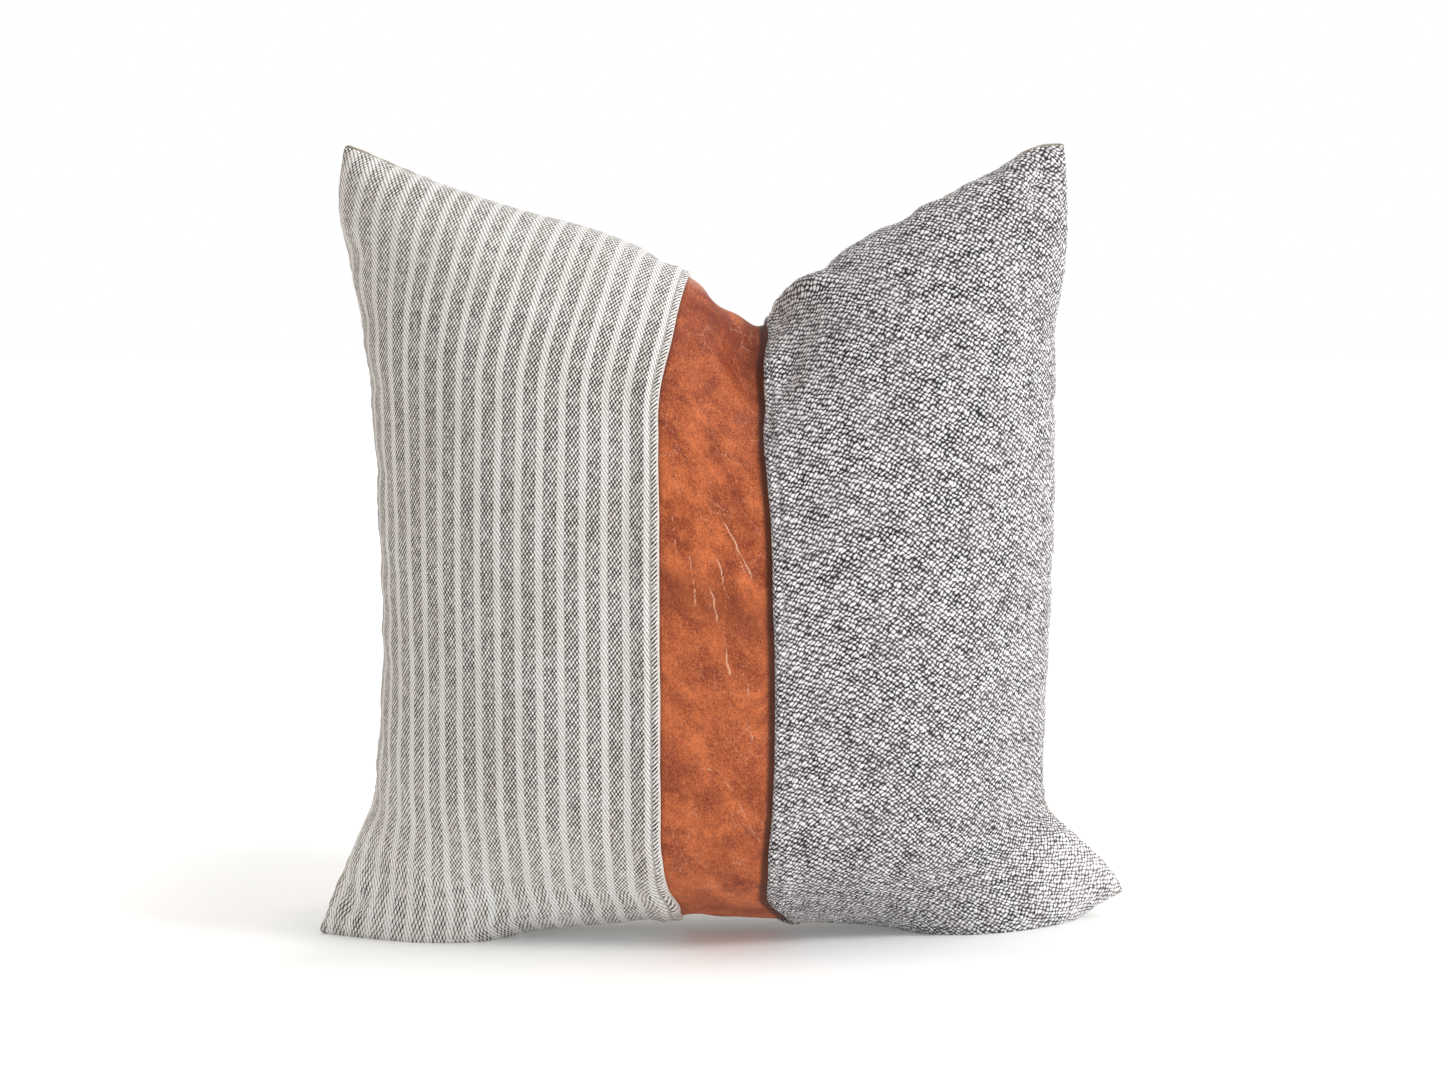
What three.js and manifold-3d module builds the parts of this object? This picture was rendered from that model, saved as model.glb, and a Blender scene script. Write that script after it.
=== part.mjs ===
// Square throw pillow standing on its lower edge: a cover sewn from three front
// panels and a two-part back closed by a zip, over a separate filled insert.
// Millimetres. +X to the right, +Y to the back, +Z up. The front faces -Y.
import * as THREE from 'three';
import { mergeVertices } from 'three/addons/utils/BufferGeometryUtils.js';

// ---- driving dimensions -----------------------------------------------------
const COVER_SIZE = 508;          // flat side of the square cover, seam to seam
const HALF_DEPTH = 108;          // crown of each side above the seam plane
const EDGE_ANGLE = 1.16;         // how far the cloth turns away at the seams, radians
const FULLNESS = 0.60;           // below 1 keeps the cover full close to the seams
const CLOTH = 1.6;               // thickness of one layer of cover cloth
const LEATHER = 1.2;             // thickness of the leather band
const GAP = 0.3;                 // clearance between pieces that rest on each other
const SEAM_HALF = 0.3;           // half of the clearance between front and back at the seam

const TICKING_EDGE = 215;        // flat distance from the left seam to the ticking's fold
const TWEED_EDGE = 282.5;        // flat distance from the left seam to the tweed's fold
const HEM_LAP = 11.5;            // how far each hem laps over the leather
const HEM_EXTRA = 1.1;           // second layer of cloth inside the folded hem
const TICKING_STITCH = 5.0;      // topstitch line behind the ticking's fold
const TWEED_STITCH = 6.5;        // topstitch line behind the tweed's fold

const DENT_U = 0.565;            // centre of the dent along the top seam
const DENT_WIDTH = 0.075;
const DENT_DEPTH = 0.42;         // share of the fullness lost at the dent

const CASING_EDGE = 0.03, CASING_BACKOFF = 5;      // insert casing inside the cover
const FILL_EDGE = 0.05, FILL_BACKOFF = 13;         // fill inside the casing
const FLOOR_COVER = 1.8, FLOOR_CASING = 4.5, FLOOR_FILL = 9.0;

const ZIP_V = 0.2;               // how far up the flat back panel the zip is set in
const ZIP_RADIUS = 447;          // the zip lies on a level arc of this radius
const ZIP_HEIGHT = 65;           // height of the zip's centre line
const ZIP_CENTRE_X = 14;
const ZIP_BACK_Y = 91;           // furthest back point of the arc
const ZIP_TILT = 0.32;           // outward face of the zip looks down by this angle
const ZIP_START = -0.42, ZIP_END = 0.36;   // ends of the chain, radians round the arc
const LIP = 4.5;                 // half of the opening between the two back panels
const LIP_BAND = 15.5;           // cloth is flat across the tape out to here
const TAPE_WIDTH = 14, TAPE_THICK = 0.6;
const COIL_NEAR = 0.5, COIL_FAR = 2.7;
const SLIDER_REST = 0.342;       // slider parked at the closed end, radians
const SLIDER_LENGTH = 9, SLIDER_HALF = 3.5;
const BAIL_B = 4.3;              // height of the crown's bar above the chain
const TAB_LENGTH = 24, TAB_WIDTH = 6.4, TAB_THICK = 1.2;

const LEAN = 9;                  // the full middle sits this far behind the seam plane
const STAND_LEFT = -180, STAND_RIGHT = 172, STAND_WIDTH = 38, STAND_PRESS = 40;   // where the pillow rests on its lower edge
const TOP_ROLL = 12;             // how far the front rises and the back drops beside the upper seam
const ROLL_TIP = 1.2;            // how far the layers' stacking turns upwards there, radians
const INSERT_CALM = 0.8;         // share of that roll which the insert does not follow
const PULL = 1.7;                // how closely the upper and lower seams' shape stays beside them
const SHIFT = [-5.5, -1.481, 0]; // puts the origin under the middle of the pillow

// ---- seam of the filled cover: four sides between the corners ------------------
const spline = pts => new THREE.CatmullRomCurve3(pts.map(p => new THREE.Vector3(...p)), false, 'centripetal');
const keyed = rows => {          // rows of [parameter, x, y, z]
  const c = spline(rows.map(r => r.slice(1)));
  const n = rows.length - 1;
  return t => {
    let i = 0;
    while (i < n - 1 && t > rows[i + 1][0]) i++;
    const f = (t - rows[i][0]) / (rows[i + 1][0] - rows[i][0]);
    return c.getPoint((i + f) / n);
  };
};
const TOP = keyed([[0, -222, 4, 474], [0.098, -178, 2, 455], [0.231, -119, 0, 432], [0.351, -62, 0, 414], [0.441, -22, 0, 394], [0.521, 9, 0, 370], [0.559, 24, 0, 362], [0.61, 42, 0, 377], [0.66, 62, 0, 396], [0.775, 110, 0, 427], [0.9, 166, 2, 459], [0.955, 189, 4, 472], [1, 206, 6, 475]]);
const BOTTOM = keyed([[0, -241, -6, 5], [0.08, -203, -3, 2], [0.18, -158, 0, 4], [0.34, -84, 4, 7.5], [0.45, -27, 7, 12.5], [0.56, 28, 10, 11], [0.66, 78, 14, 7.5], [0.82, 154, 25, 3], [0.92, 204, 37, 4.5], [0.966, 229, 46, 9], [1, 252, 56, 15]]);
const LEFT = keyed([[0, -241, -6, 5], [0.058, -231, -5, 30], [0.099, -222, -4, 47], [0.138, -214, -3, 64], [0.176, -207, -2, 81], [0.252, -203, -1, 117], [0.352, -200, 0, 165], [0.508, -201, 0, 240], [0.677, -205, 0, 321], [0.791, -212, 1, 375], [0.855, -218, 2, 405], [0.929, -224.5, 3, 440], [1, -222, 4, 474]]);
const RIGHT = keyed([[0, 252, 56, 15], [0.032, 243, 53, 29], [0.076, 228, 47, 45], [0.111, 214, 42, 57], [0.145, 202, 36, 69], [0.177, 198, 32, 83], [0.216, 197, 28, 101], [0.321, 198, 20, 150], [0.51, 200, 8, 240], [0.706, 200, 4, 334], [0.773, 200, 4, 366], [0.866, 206, 4, 410], [1, 206, 6, 475]]);
const CORNERS = [LEFT(0), RIGHT(0), LEFT(1), RIGHT(1)];

const clamp = (x, a, b) => Math.min(b, Math.max(a, x));
const smooth = (x, a, b) => { const t = clamp((x - a) / (b - a), 0, 1); return t * t * (3 - 2 * t); };
const bell = x => Math.exp(-x * x);

// flat fraction -> fraction seen from the front, fuller towards the middle
const remap = (a, across) => {
  const p = 2 * a - 1, q = 2 * across - 1;
  const k = 1 - q * q * q * q;
  return (1 + p + k * (Math.sin(EDGE_ANGLE * p) / Math.sin(EDGE_ANGLE) - p)) / 2;
};
const hump = a => Math.max(0, (Math.cos(EDGE_ANGLE * (2 * a - 1)) - Math.cos(EDGE_ANGLE)) / (1 - Math.cos(EDGE_ANGLE)));
const fullness = (u, v) => {
  const sag = 1 + 0.07 * (0.5 - v);
  const dent = 1 - DENT_DEPTH * bell((u - DENT_U) / DENT_WIDTH) * smooth(v, 0.72, 0.99);
  return HALF_DEPTH * Math.pow(hump(u) * hump(v), FULLNESS) * sag * dent;
};
const pull = b => 0.5 + 0.5 * Math.sign(2 * b - 1) * Math.pow(Math.abs(2 * b - 1), PULL);
const roll = v => TOP_ROLL * smooth(v, 0.76, 0.95) * (1 - Math.pow(Math.max(0, (v - 0.95) / 0.05), 2));
const middle = (u, v) => {
  const a = remap(u, v), c = remap(v, u), b = pull(c);
  const P = new THREE.Vector3();
  P.addScaledVector(BOTTOM(a), 1 - b).addScaledVector(TOP(a), b);
  P.addScaledVector(LEFT(c), 1 - a).addScaledVector(RIGHT(c), a);
  P.addScaledVector(CORNERS[0], -(1 - a) * (1 - b)).addScaledVector(CORNERS[1], -a * (1 - b));
  P.addScaledVector(CORNERS[2], -(1 - a) * b).addScaledVector(CORNERS[3], -a * b);
  P.y += LEAN * Math.sin(Math.PI * u) * Math.sin(Math.PI * v);
  return P;
};
// the cloth hangs a little below the seam where the pillow stands on it
const press = (P, v) => {
  const stand = bell((P.x - STAND_LEFT) / STAND_WIDTH) + bell((P.x - STAND_RIGHT) / STAND_WIDTH);
  return STAND_PRESS * Math.min(1, stand) * bell((v - 0.02) / 0.06);
};
const side = (u, v, offset, sign, floor) => {   // sign -1 front, +1 back
  const P = middle(u, v);
  P.z = Math.max(floor, P.z - press(P, v));
  // layers stack outwards where the front rolls over towards the upper seam
  const tip = sign < 0 ? ROLL_TIP * smooth(v, 0.88, 0.985) * Math.sqrt(hump(u)) : 0;
  P.y += sign * (fullness(u, v) + offset * Math.cos(tip));
  P.z += offset * Math.sin(tip) - sign * roll(v) * Math.sqrt(hump(u));
  return P;
};
const coverFloor = offset => Math.max(0, FLOOR_COVER - offset);

const turn = g => {               // reverse the facing of every triangle
  const id = g.index.array;
  for (let t = 0; t < id.length; t += 3) { const s = id[t]; id[t] = id[t + 1]; id[t + 1] = s; }
};

// ---- closed slab over a grid of two sheets -----------------------------------
const slab = (us, vs, place, flip = false) => {
  const nu = us.length - 1, nv = vs.length - 1;
  let g = new THREE.BoxGeometry(1, 1, 1, nu, nv, 1);
  // both sheets split their cells along the same diagonal, so they stay parallel
  const ids = g.index.array, inner = g.groups[5];
  for (let k = inner.start; k < inner.start + inner.count; k += 6) {
    const [a, b, d, , c] = ids.slice(k, k + 5);
    ids.set([a, b, c, a, c, d], k);
  }
  g.deleteAttribute('normal'); g.deleteAttribute('uv');
  g = mergeVertices(g, 1e-4);
  const pos = g.attributes.position;
  for (let k = 0; k < pos.count; k++) {
    const i = Math.round((pos.getX(k) + 0.5) * nu), j = Math.round((pos.getY(k) + 0.5) * nv);
    const P = place(us[i], vs[j], pos.getZ(k) > 0 ? 1 : 0, i, j);
    pos.setXYZ(k, P.x, P.y, P.z);
  }
  if (flip) turn(g);
  g.computeVertexNormals();
  return g;
};
const mm = x => x / COVER_SIZE;
const pillow = new THREE.Group();
const add = (name, geometry, color, roughness = 0.9, metalness = 0) => {
  const m = new THREE.Mesh(geometry, new THREE.MeshStandardMaterial({ color, roughness, metalness }));
  m.name = name;
  pillow.add(m);
  return m;
};

// ---- front panels -------------------------------------------------------------
const LOW = [0, 0.008, 0.03, 0.07, 0.12, ZIP_V - 0.0305, ZIP_V];
const HIGH = [ZIP_V, ZIP_V + 0.0305, 0.29, 0.37, 0.47, 0.57, 0.67, 0.76, 0.83, 0.89, 0.935, 0.97, 0.992, 1];
const ROWS = [...LOW, ...HIGH.slice(1)];
const lapLo = d => SEAM_HALF + (LEATHER + GAP) * smooth(d, -8, 0);        // d: distance into the lap
const lapHi = d => lapLo(d) + CLOTH + HEM_EXTRA * smooth(d, -2, 1);
const tickLap = u => u * COVER_SIZE - (TICKING_EDGE - HEM_LAP);
const tweedLap = u => (TWEED_EDGE + HEM_LAP) - u * COVER_SIZE;
const tickU = [0, 0.008, 0.03, 0.07, 0.125, 0.19, 0.25, 0.31, 0.355, mm(TICKING_EDGE - HEM_LAP - 8), mm(TICKING_EDGE - HEM_LAP - 4),
  mm(TICKING_EDGE - HEM_LAP), mm(TICKING_EDGE - 6), mm(TICKING_EDGE)];
const bandU = [mm(TICKING_EDGE - HEM_LAP), mm(TICKING_EDGE - 6), mm(TICKING_EDGE), 0.47, 0.5, 0.53, mm(TWEED_EDGE), mm(TWEED_EDGE + 6), mm(TWEED_EDGE + HEM_LAP)];
const tweedU = [mm(TWEED_EDGE), mm(TWEED_EDGE + 6), mm(TWEED_EDGE + HEM_LAP), mm(TWEED_EDGE + HEM_LAP + 4), mm(TWEED_EDGE + HEM_LAP + 8),
  0.635, 0.68, 0.74, 0.81, 0.875, 0.93, 0.97, 0.992, 1];
const front = (us, lo, hi) => slab(us, ROWS, (u, v, s) => {
  const o = s ? hi(u) : lo(u);
  return side(u, v, o, -1, coverFloor(Math.min(o, s ? FLOOR_COVER : SEAM_HALF + 0.0)));
});
add('ticking_panel', front(tickU, u => lapLo(tickLap(u)), u => lapHi(tickLap(u))), 0xb9b5b0);
add('leather_band', front(bandU, () => SEAM_HALF, () => SEAM_HALF + LEATHER), 0xb5653f, 0.5);
add('tweed_panel', front(tweedU, u => lapLo(tweedLap(u)), u => lapHi(tweedLap(u))), 0xadaaad);

// one row of topstitching lies on each hem
const stitchRow = (edge, lapOf, dir) => {
  const u0 = mm(edge - 0.45), u1 = mm(edge + 0.45);
  const vs = ROWS.slice(1, -1);
  return slab([u0, u1], vs, (u, v, s) => {
    const o = lapHi(lapOf(mm(edge))) + GAP + (s ? 0.55 : 0);
    return side(u, v, o, -1, 1.0 + (s ? 0 : 0.5));
  });
};
add('ticking_topstitch', stitchRow(TICKING_EDGE - TICKING_STITCH, tickLap), 0xdedbd4);
add('tweed_topstitch', stitchRow(TWEED_EDGE + TWEED_STITCH, tweedLap), 0xc9c6c8);

// ---- zip arc ----------------------------------------------------------------------
// section coordinates: a climbs along the cloth, b points out of the back
const ZC = new THREE.Vector3(ZIP_CENTRE_X, ZIP_BACK_Y - ZIP_RADIUS, ZIP_HEIGHT);
const zipPoint = (phi, a, b) => {
  const r = ZIP_RADIUS + a * Math.sin(ZIP_TILT) + b * Math.cos(ZIP_TILT);
  return new THREE.Vector3(ZC.x + r * Math.sin(phi), ZC.y + r * Math.cos(phi), ZC.z + a * Math.cos(ZIP_TILT) - b * Math.sin(ZIP_TILT));
};
const zipRun = (section, phi0, phi1, steps) => {   // section: [[a, b], ...] anticlockwise seen along +phi
  const shape = new THREE.Shape(section.map(([a, b]) => new THREE.Vector2(a, b)));
  let g = new THREE.ExtrudeGeometry(shape, { depth: 1, steps, bevelEnabled: false });
  g.deleteAttribute('normal'); g.deleteAttribute('uv');
  g = mergeVertices(g, 1e-5);
  const pos = g.attributes.position;
  for (let k = 0; k < pos.count; k++) {
    const P = zipPoint(phi0 + (phi1 - phi0) * pos.getZ(k), pos.getX(k), pos.getY(k));
    pos.setXYZ(k, P.x, P.y, P.z);
  }
  turn(g);
  g.computeVertexNormals();
  return g;
};

// ---- back panels --------------------------------------------------------------------
const zipPhi = u => Math.asin(clamp((middle(u, ZIP_V).x - ZC.x) / ZIP_RADIUS, -0.6, 0.6));
const onZip = u => { const f = zipPhi(u); return (1 - smooth(f, ZIP_END + 0.017, ZIP_END + 0.055)) * smooth(f, ZIP_START - 0.055, ZIP_START - 0.017); };
const lay = s => SEAM_HALF + (s ? CLOTH : 0);
const uAt = phi => {             // flat position across the back of an angle on the arc
  let lo = 0, hi = 1;
  for (let k = 0; k < 40; k++) { const m = (lo + hi) / 2; if (zipPhi(m) < phi) lo = m; else hi = m; }
  return lo;
};
const BACK_U = [0, 0.008, 0.03, 0.065, uAt(ZIP_START - 0.016), 0.18, 0.245, 0.31, 0.375, 0.44, 0.505, 0.57, 0.635, 0.70, 0.76, 0.82, 0.865, uAt(ZIP_END + 0.016), 0.95, 0.975, 0.992, 1];
// back cloth drawn smoothly onto the zip's arc
const back = (u, v, offset) => {
  const P = side(u, v, offset, 1, coverFloor(offset));
  const at = side(u, ZIP_V, offset, 1, 0), arc = zipPoint(zipPhi(u), 0, offset - SEAM_HALF - 0.6);
  const w = onZip(u) * bell((v - ZIP_V) / 0.1);
  P.y += w * (arc.y - at.y) * smooth(v, 0, 0.05);
  P.z = Math.max(coverFloor(offset), P.z + w * (arc.z - at.z) * smooth(v, 0.02, 0.1));
  return P;
};
// rows that border the opening: flat across the tape where the chain runs,
// and closed up to a seam beyond its ends
const bordering = (u, v, a, offset) => {
  const k = onZip(u);
  const edge = back(u, v, offset);
  if (Math.abs(a) === LIP) edge.z += Math.sign(a) * 0.35;
  return edge.lerp(zipPoint(zipPhi(u), a, offset - SEAM_HALF - 0.6), k);
};
add('back_panel_upper', slab(BACK_U, HIGH, (u, v, s, i, j) =>
  j === 0 ? bordering(u, v, LIP, lay(s)) : j === 1 ? bordering(u, v, LIP_BAND, lay(s)) : back(u, v, lay(s)), true), 0xcfc8bb);
add('back_panel_lower', slab(BACK_U, LOW, (u, v, s, i, j) =>
  j === 6 ? bordering(u, v, -LIP, lay(s)) : j === 5 ? bordering(u, v, -LIP_BAND, lay(s)) : back(u, v, lay(s)), true), 0xcfc8bb);

// ---- zip ------------------------------------------------------------------------------
const tapeIn = -1.7, tapeOut = tapeIn + TAPE_THICK;
const rect = (a0, a1, b0, b1) => [[a0, b0], [a1, b0], [a1, b1], [a0, b1]];
const coil = s => {
  const pts = [[COIL_NEAR, 0], [COIL_NEAR + 0.5, -0.85], [COIL_FAR - 0.5, -0.85], [COIL_FAR, 0], [COIL_FAR - 0.5, 0.9], [COIL_NEAR + 0.5, 0.9]];
  return s > 0 ? pts : pts.map(([a, b]) => [-a, b]).reverse();
};
add('zip_tape_upper', zipRun(rect(COIL_NEAR, COIL_NEAR + TAPE_WIDTH, tapeIn, tapeOut), ZIP_START - 0.011, ZIP_END + 0.011, 26), 0x9a948a);
add('zip_tape_lower', zipRun(rect(-COIL_NEAR - TAPE_WIDTH, -COIL_NEAR, tapeIn, tapeOut), ZIP_START - 0.011, ZIP_END + 0.011, 26), 0x9a948a);
add('zip_coil_upper', zipRun(coil(1), ZIP_START, ZIP_END, 26), 0x8b857c, 0.5);
add('zip_coil_lower', zipRun(coil(-1), ZIP_START, ZIP_END, 26), 0x8b857c, 0.5);
const stopAt = (phi0, phi1) => zipRun(rect(-2.6, 2.6, -0.8, 1.0), phi0, phi1, 1);
add('zip_top_stop', stopAt(ZIP_END + 0.0015, ZIP_END + 0.0075), 0x9c9a96, 0.35, 0.8);
add('zip_bottom_stop', stopAt(ZIP_START - 0.0075, ZIP_START - 0.0015), 0x9c9a96, 0.35, 0.8);
add('zip_stitch_upper', zipRun(rect(7.4, 8.2, 1.35, 1.85), ZIP_START, ZIP_END, 20), 0xe0dacd);
add('zip_stitch_lower', zipRun(rect(-8.2, -7.4, 1.35, 1.85), ZIP_START, ZIP_END, 20), 0xe0dacd);

// slider: two plates, side flanges, the post between the coils and the crown on top
const local = (geometry) => {     // x: along the chain away from the closed end, y: a, z: b
  const phi = SLIDER_REST;
  const O = zipPoint(phi, 0, 0);
  const ex = new THREE.Vector3(-Math.cos(phi), Math.sin(phi), 0);
  const eb = zipPoint(phi, 0, 1).sub(O), ea = zipPoint(phi, 1, 0).sub(O);
  geometry.applyMatrix4(new THREE.Matrix4().makeBasis(ex, ea, eb).setPosition(O));
  return geometry;
};
const H = SLIDER_HALF;
const Module = (await import('manifold-3d')).default;
const wasm = await Module();
wasm.setup();
const solid = geometry => {
  let g = geometry.clone();
  g.deleteAttribute('normal'); g.deleteAttribute('uv');
  g = mergeVertices(g, 1e-4);
  return new wasm.Manifold(new wasm.Mesh({ numProp: 3, vertProperties: new Float32Array(g.attributes.position.array), triVerts: new Uint32Array(g.index.array) }));
};
const toGeometry = m => {
  const mesh = m.getMesh();
  const g = new THREE.BufferGeometry();
  g.setAttribute('position', new THREE.BufferAttribute(new Float32Array(mesh.vertProperties), 3));
  g.setIndex(new THREE.BufferAttribute(new Uint32Array(mesh.triVerts), 1));
  g.computeVertexNormals();
  return g;
};
const boxAt = (x0, x1, a0, a1, b0, b1) => new THREE.BoxGeometry(x1 - x0, a1 - a0, b1 - b0).translate((x0 + x1) / 2, (a0 + a1) / 2, (b0 + b1) / 2);
const L2 = SLIDER_LENGTH / 2;
let slider = solid(boxAt(-L2, L2, -H, H, 1.2, 2.2))
  .add(solid(boxAt(-L2, L2, -H, H, -3.0, -2.05)))
  .add(solid(boxAt(-L2, L2, -H, -3.0, -0.8, 1.3)))
  .add(solid(boxAt(-L2, L2, 3.0, H, -0.8, 1.3)))
  .add(solid(boxAt(-L2 + 0.6, -L2 + 3, -0.25, 0.25, -2.2, 1.4)))
  .add(solid(boxAt(-L2 + 0.4, -L2 + 1.6, -0.6, 0.6, 2.1, BAIL_B + 0.55)))
  .add(solid(boxAt(L2 - 1.6, L2 - 0.4, -0.6, 0.6, 2.1, BAIL_B + 0.55)))
  .add(solid(boxAt(-L2 + 0.5, L2 - 0.5, -0.5, 0.5, BAIL_B - 0.5, BAIL_B + 0.5)));
add('zip_slider_body', local(toGeometry(slider)), 0x8e8c88, 0.3, 0.9);

// pull tab: a flat tag with a rolled eye round the crown's bar; it hangs straight down
const hang = (() => {
  const phi = SLIDER_REST;
  const O = zipPoint(phi, 0, BAIL_B);
  const ex = new THREE.Vector3(Math.cos(phi), -Math.sin(phi), 0);
  const ey = new THREE.Vector3(Math.sin(phi), Math.cos(phi), 0);
  return g => g.applyMatrix4(new THREE.Matrix4().makeBasis(ex, ey, new THREE.Vector3(0, 0, 1)).setPosition(O));
})();
const EYE_IN = 0.95, EYE_OUT = 1.75, EYE_HALF = 2.2;
const eyeShape = new THREE.Shape(); eyeShape.absarc(0, 0, EYE_OUT, 0, Math.PI * 2);
const eyeHole = new THREE.Path(); eyeHole.absarc(0, 0, EYE_IN, 0, Math.PI * 2, true); eyeShape.holes.push(eyeHole);
const eye = new THREE.ExtrudeGeometry(eyeShape, { depth: 2 * EYE_HALF, steps: 1, bevelEnabled: false, curveSegments: 8 });
eye.applyMatrix4(new THREE.Matrix4().set(0, 0, 1, -EYE_HALF, 1, 0, 0, 0, 0, 1, 0, 0, 0, 0, 0, 1));
const tag = new THREE.Shape();
const w = TAB_WIDTH / 2, top = -EYE_IN - 0.35, end = -TAB_LENGTH;
tag.moveTo(-1.6, top); tag.lineTo(-1.6, top - 2); tag.lineTo(-w, top - 5.5); tag.lineTo(-w, end + w);
tag.absarc(0, end + w, w, Math.PI, Math.PI * 2); tag.lineTo(w, top - 5.5); tag.lineTo(1.6, top - 2); tag.lineTo(1.6, top);
const tagHole = new THREE.Path(); tagHole.absarc(0, end + w + 0.4, 1.5, 0, Math.PI * 2, true); tag.holes.push(tagHole);
const plate = new THREE.ExtrudeGeometry(tag, { depth: TAB_THICK, steps: 1, bevelEnabled: false, curveSegments: 8 });
plate.applyMatrix4(new THREE.Matrix4().set(1, 0, 0, 0, 0, 0, -1, TAB_THICK / 2, 0, 1, 0, 0, 0, 0, 0, 1));
add('zip_pull_tab', hang(toGeometry(solid(eye).add(solid(plate)))), 0x8e8c88, 0.3, 0.9);

// ---- insert -------------------------------------------------------------------------
const GRID_U = [0.03, 0.05, 0.08, 0.13, 0.21, 0.3, 0.39, 0.46, 0.51, 0.55, 0.585, 0.62, 0.66, 0.73, 0.81, 0.88, 0.92, 0.95, 0.97];
const GRID_V = [0.03, 0.05, 0.08, 0.125, 0.2, 0.29, 0.39, 0.5, 0.61, 0.71, 0.79, 0.86, 0.92, 0.95, 0.97];
const edgeIn = (u, v, edge) => {  // 0 at the insert's own seam, 1 a little inside it
  const d = Math.min(u, 1 - u, v, 1 - v) - edge;
  return clamp(d / 0.03, 0, 1) ** 0.6;
};
const inner = (u, v, edge, backoff, offset, sign, floor) => {
  const P = side(u, v, 0, sign, floor), M = middle(u, v);
  const room = backoff + 9 * bell((u - DENT_U) / 0.1) * smooth(v, 0.5, 0.8) + (sign > 0 ? 13 * bell((v - ZIP_V) / 0.14) + 9 * smooth(v, 0.66, 0.84) : 0);
  const h = Math.max(0, fullness(u, v) - room) * edgeIn(u, v, edge) + offset;
  P.y = M.y + sign * h;
  P.z += sign * roll(v) * Math.sqrt(hump(u)) * INSERT_CALM;   // the insert rolls less than its cover
  return P;
};
add('insert_casing_front', slab(GRID_U, GRID_V, (u, v, s) => inner(u, v, CASING_EDGE, CASING_BACKOFF, s ? 1.2 : 0.25, -1, FLOOR_CASING + (s ? 0 : 0.9))), 0xf2efe8);
add('insert_casing_back', slab(GRID_U, GRID_V, (u, v, s) => inner(u, v, CASING_EDGE, CASING_BACKOFF, s ? 1.2 : 0.25, 1, FLOOR_CASING + (s ? 0 : 0.9)), true), 0xf2efe8);
add('insert_fill', slab(GRID_U.slice(1, -1), GRID_V.slice(1, -1), (u, v, s) => inner(u, v, FILL_EDGE, FILL_BACKOFF, 0.18, s ? -1 : 1, FLOOR_FILL)), 0xfbfaf6);

pillow.position.set(...SHIFT);
export default pillow;
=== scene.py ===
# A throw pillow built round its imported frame: three front panels, a zipped back, and the insert inside.
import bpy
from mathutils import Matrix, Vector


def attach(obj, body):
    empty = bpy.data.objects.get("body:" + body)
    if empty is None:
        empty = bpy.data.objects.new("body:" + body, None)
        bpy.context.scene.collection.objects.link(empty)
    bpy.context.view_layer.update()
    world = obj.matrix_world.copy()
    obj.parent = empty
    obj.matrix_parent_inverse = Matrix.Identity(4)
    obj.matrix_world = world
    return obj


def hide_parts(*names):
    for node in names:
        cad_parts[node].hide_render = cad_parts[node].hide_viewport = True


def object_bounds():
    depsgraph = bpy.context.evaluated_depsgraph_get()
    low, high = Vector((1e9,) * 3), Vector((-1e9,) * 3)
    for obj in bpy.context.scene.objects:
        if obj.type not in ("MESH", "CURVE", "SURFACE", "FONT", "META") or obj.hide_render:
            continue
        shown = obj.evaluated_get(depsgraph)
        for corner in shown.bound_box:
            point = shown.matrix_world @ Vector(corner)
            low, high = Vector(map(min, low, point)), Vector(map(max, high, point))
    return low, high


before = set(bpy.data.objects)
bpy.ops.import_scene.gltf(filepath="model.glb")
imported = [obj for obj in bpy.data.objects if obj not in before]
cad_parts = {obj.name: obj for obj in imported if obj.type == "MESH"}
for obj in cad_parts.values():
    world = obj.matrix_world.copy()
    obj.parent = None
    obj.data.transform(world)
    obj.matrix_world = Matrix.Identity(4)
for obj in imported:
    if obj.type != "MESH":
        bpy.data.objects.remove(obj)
CAD_BOX = [list(c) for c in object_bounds()]

import math

import bmesh
import bpy
import numpy as np

scene = bpy.context.scene

# ------------------------------------------------------------------------------------
# The filled cover, in millimetres. s runs across the flat cover from its left seam and
# t up from its lower seam, both 0 to 508. +X right, +Y back, +Z up.
# ------------------------------------------------------------------------------------
COVER = 508.0
HALF_DEPTH, EDGE_ANGLE, FULLNESS = 108.0, 1.16, 0.60
DENT_U, DENT_WIDTH, DENT_DEPTH = 0.565, 0.075, 0.42
LEAN = 9.0
TOP_ROLL, PULL = 12.0, 1.7
STAND_LEFT, STAND_RIGHT, STAND_WIDTH, STAND_PRESS = -180.0, 172.0, 38.0, 40.0
SHIFT = np.array([-5.5, -1.481, 0.0])
TICKING_EDGE, TWEED_EDGE, HEM_LAP = 215.0, 282.5, 11.5
TICKING_STITCH, TWEED_STITCH = 5.0, 6.5
ZIP_V, ZIP_RADIUS, ZIP_HEIGHT, ZIP_CENTRE_X, ZIP_BACK_Y, ZIP_TILT = 0.2, 447.0, 65.0, 14.0, 91.0, 0.32
ZIP_START, ZIP_END, SLIDER_REST = -0.42, 0.36, 0.342
LIP, LIP_BAND = 4.5, 15.5

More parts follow.
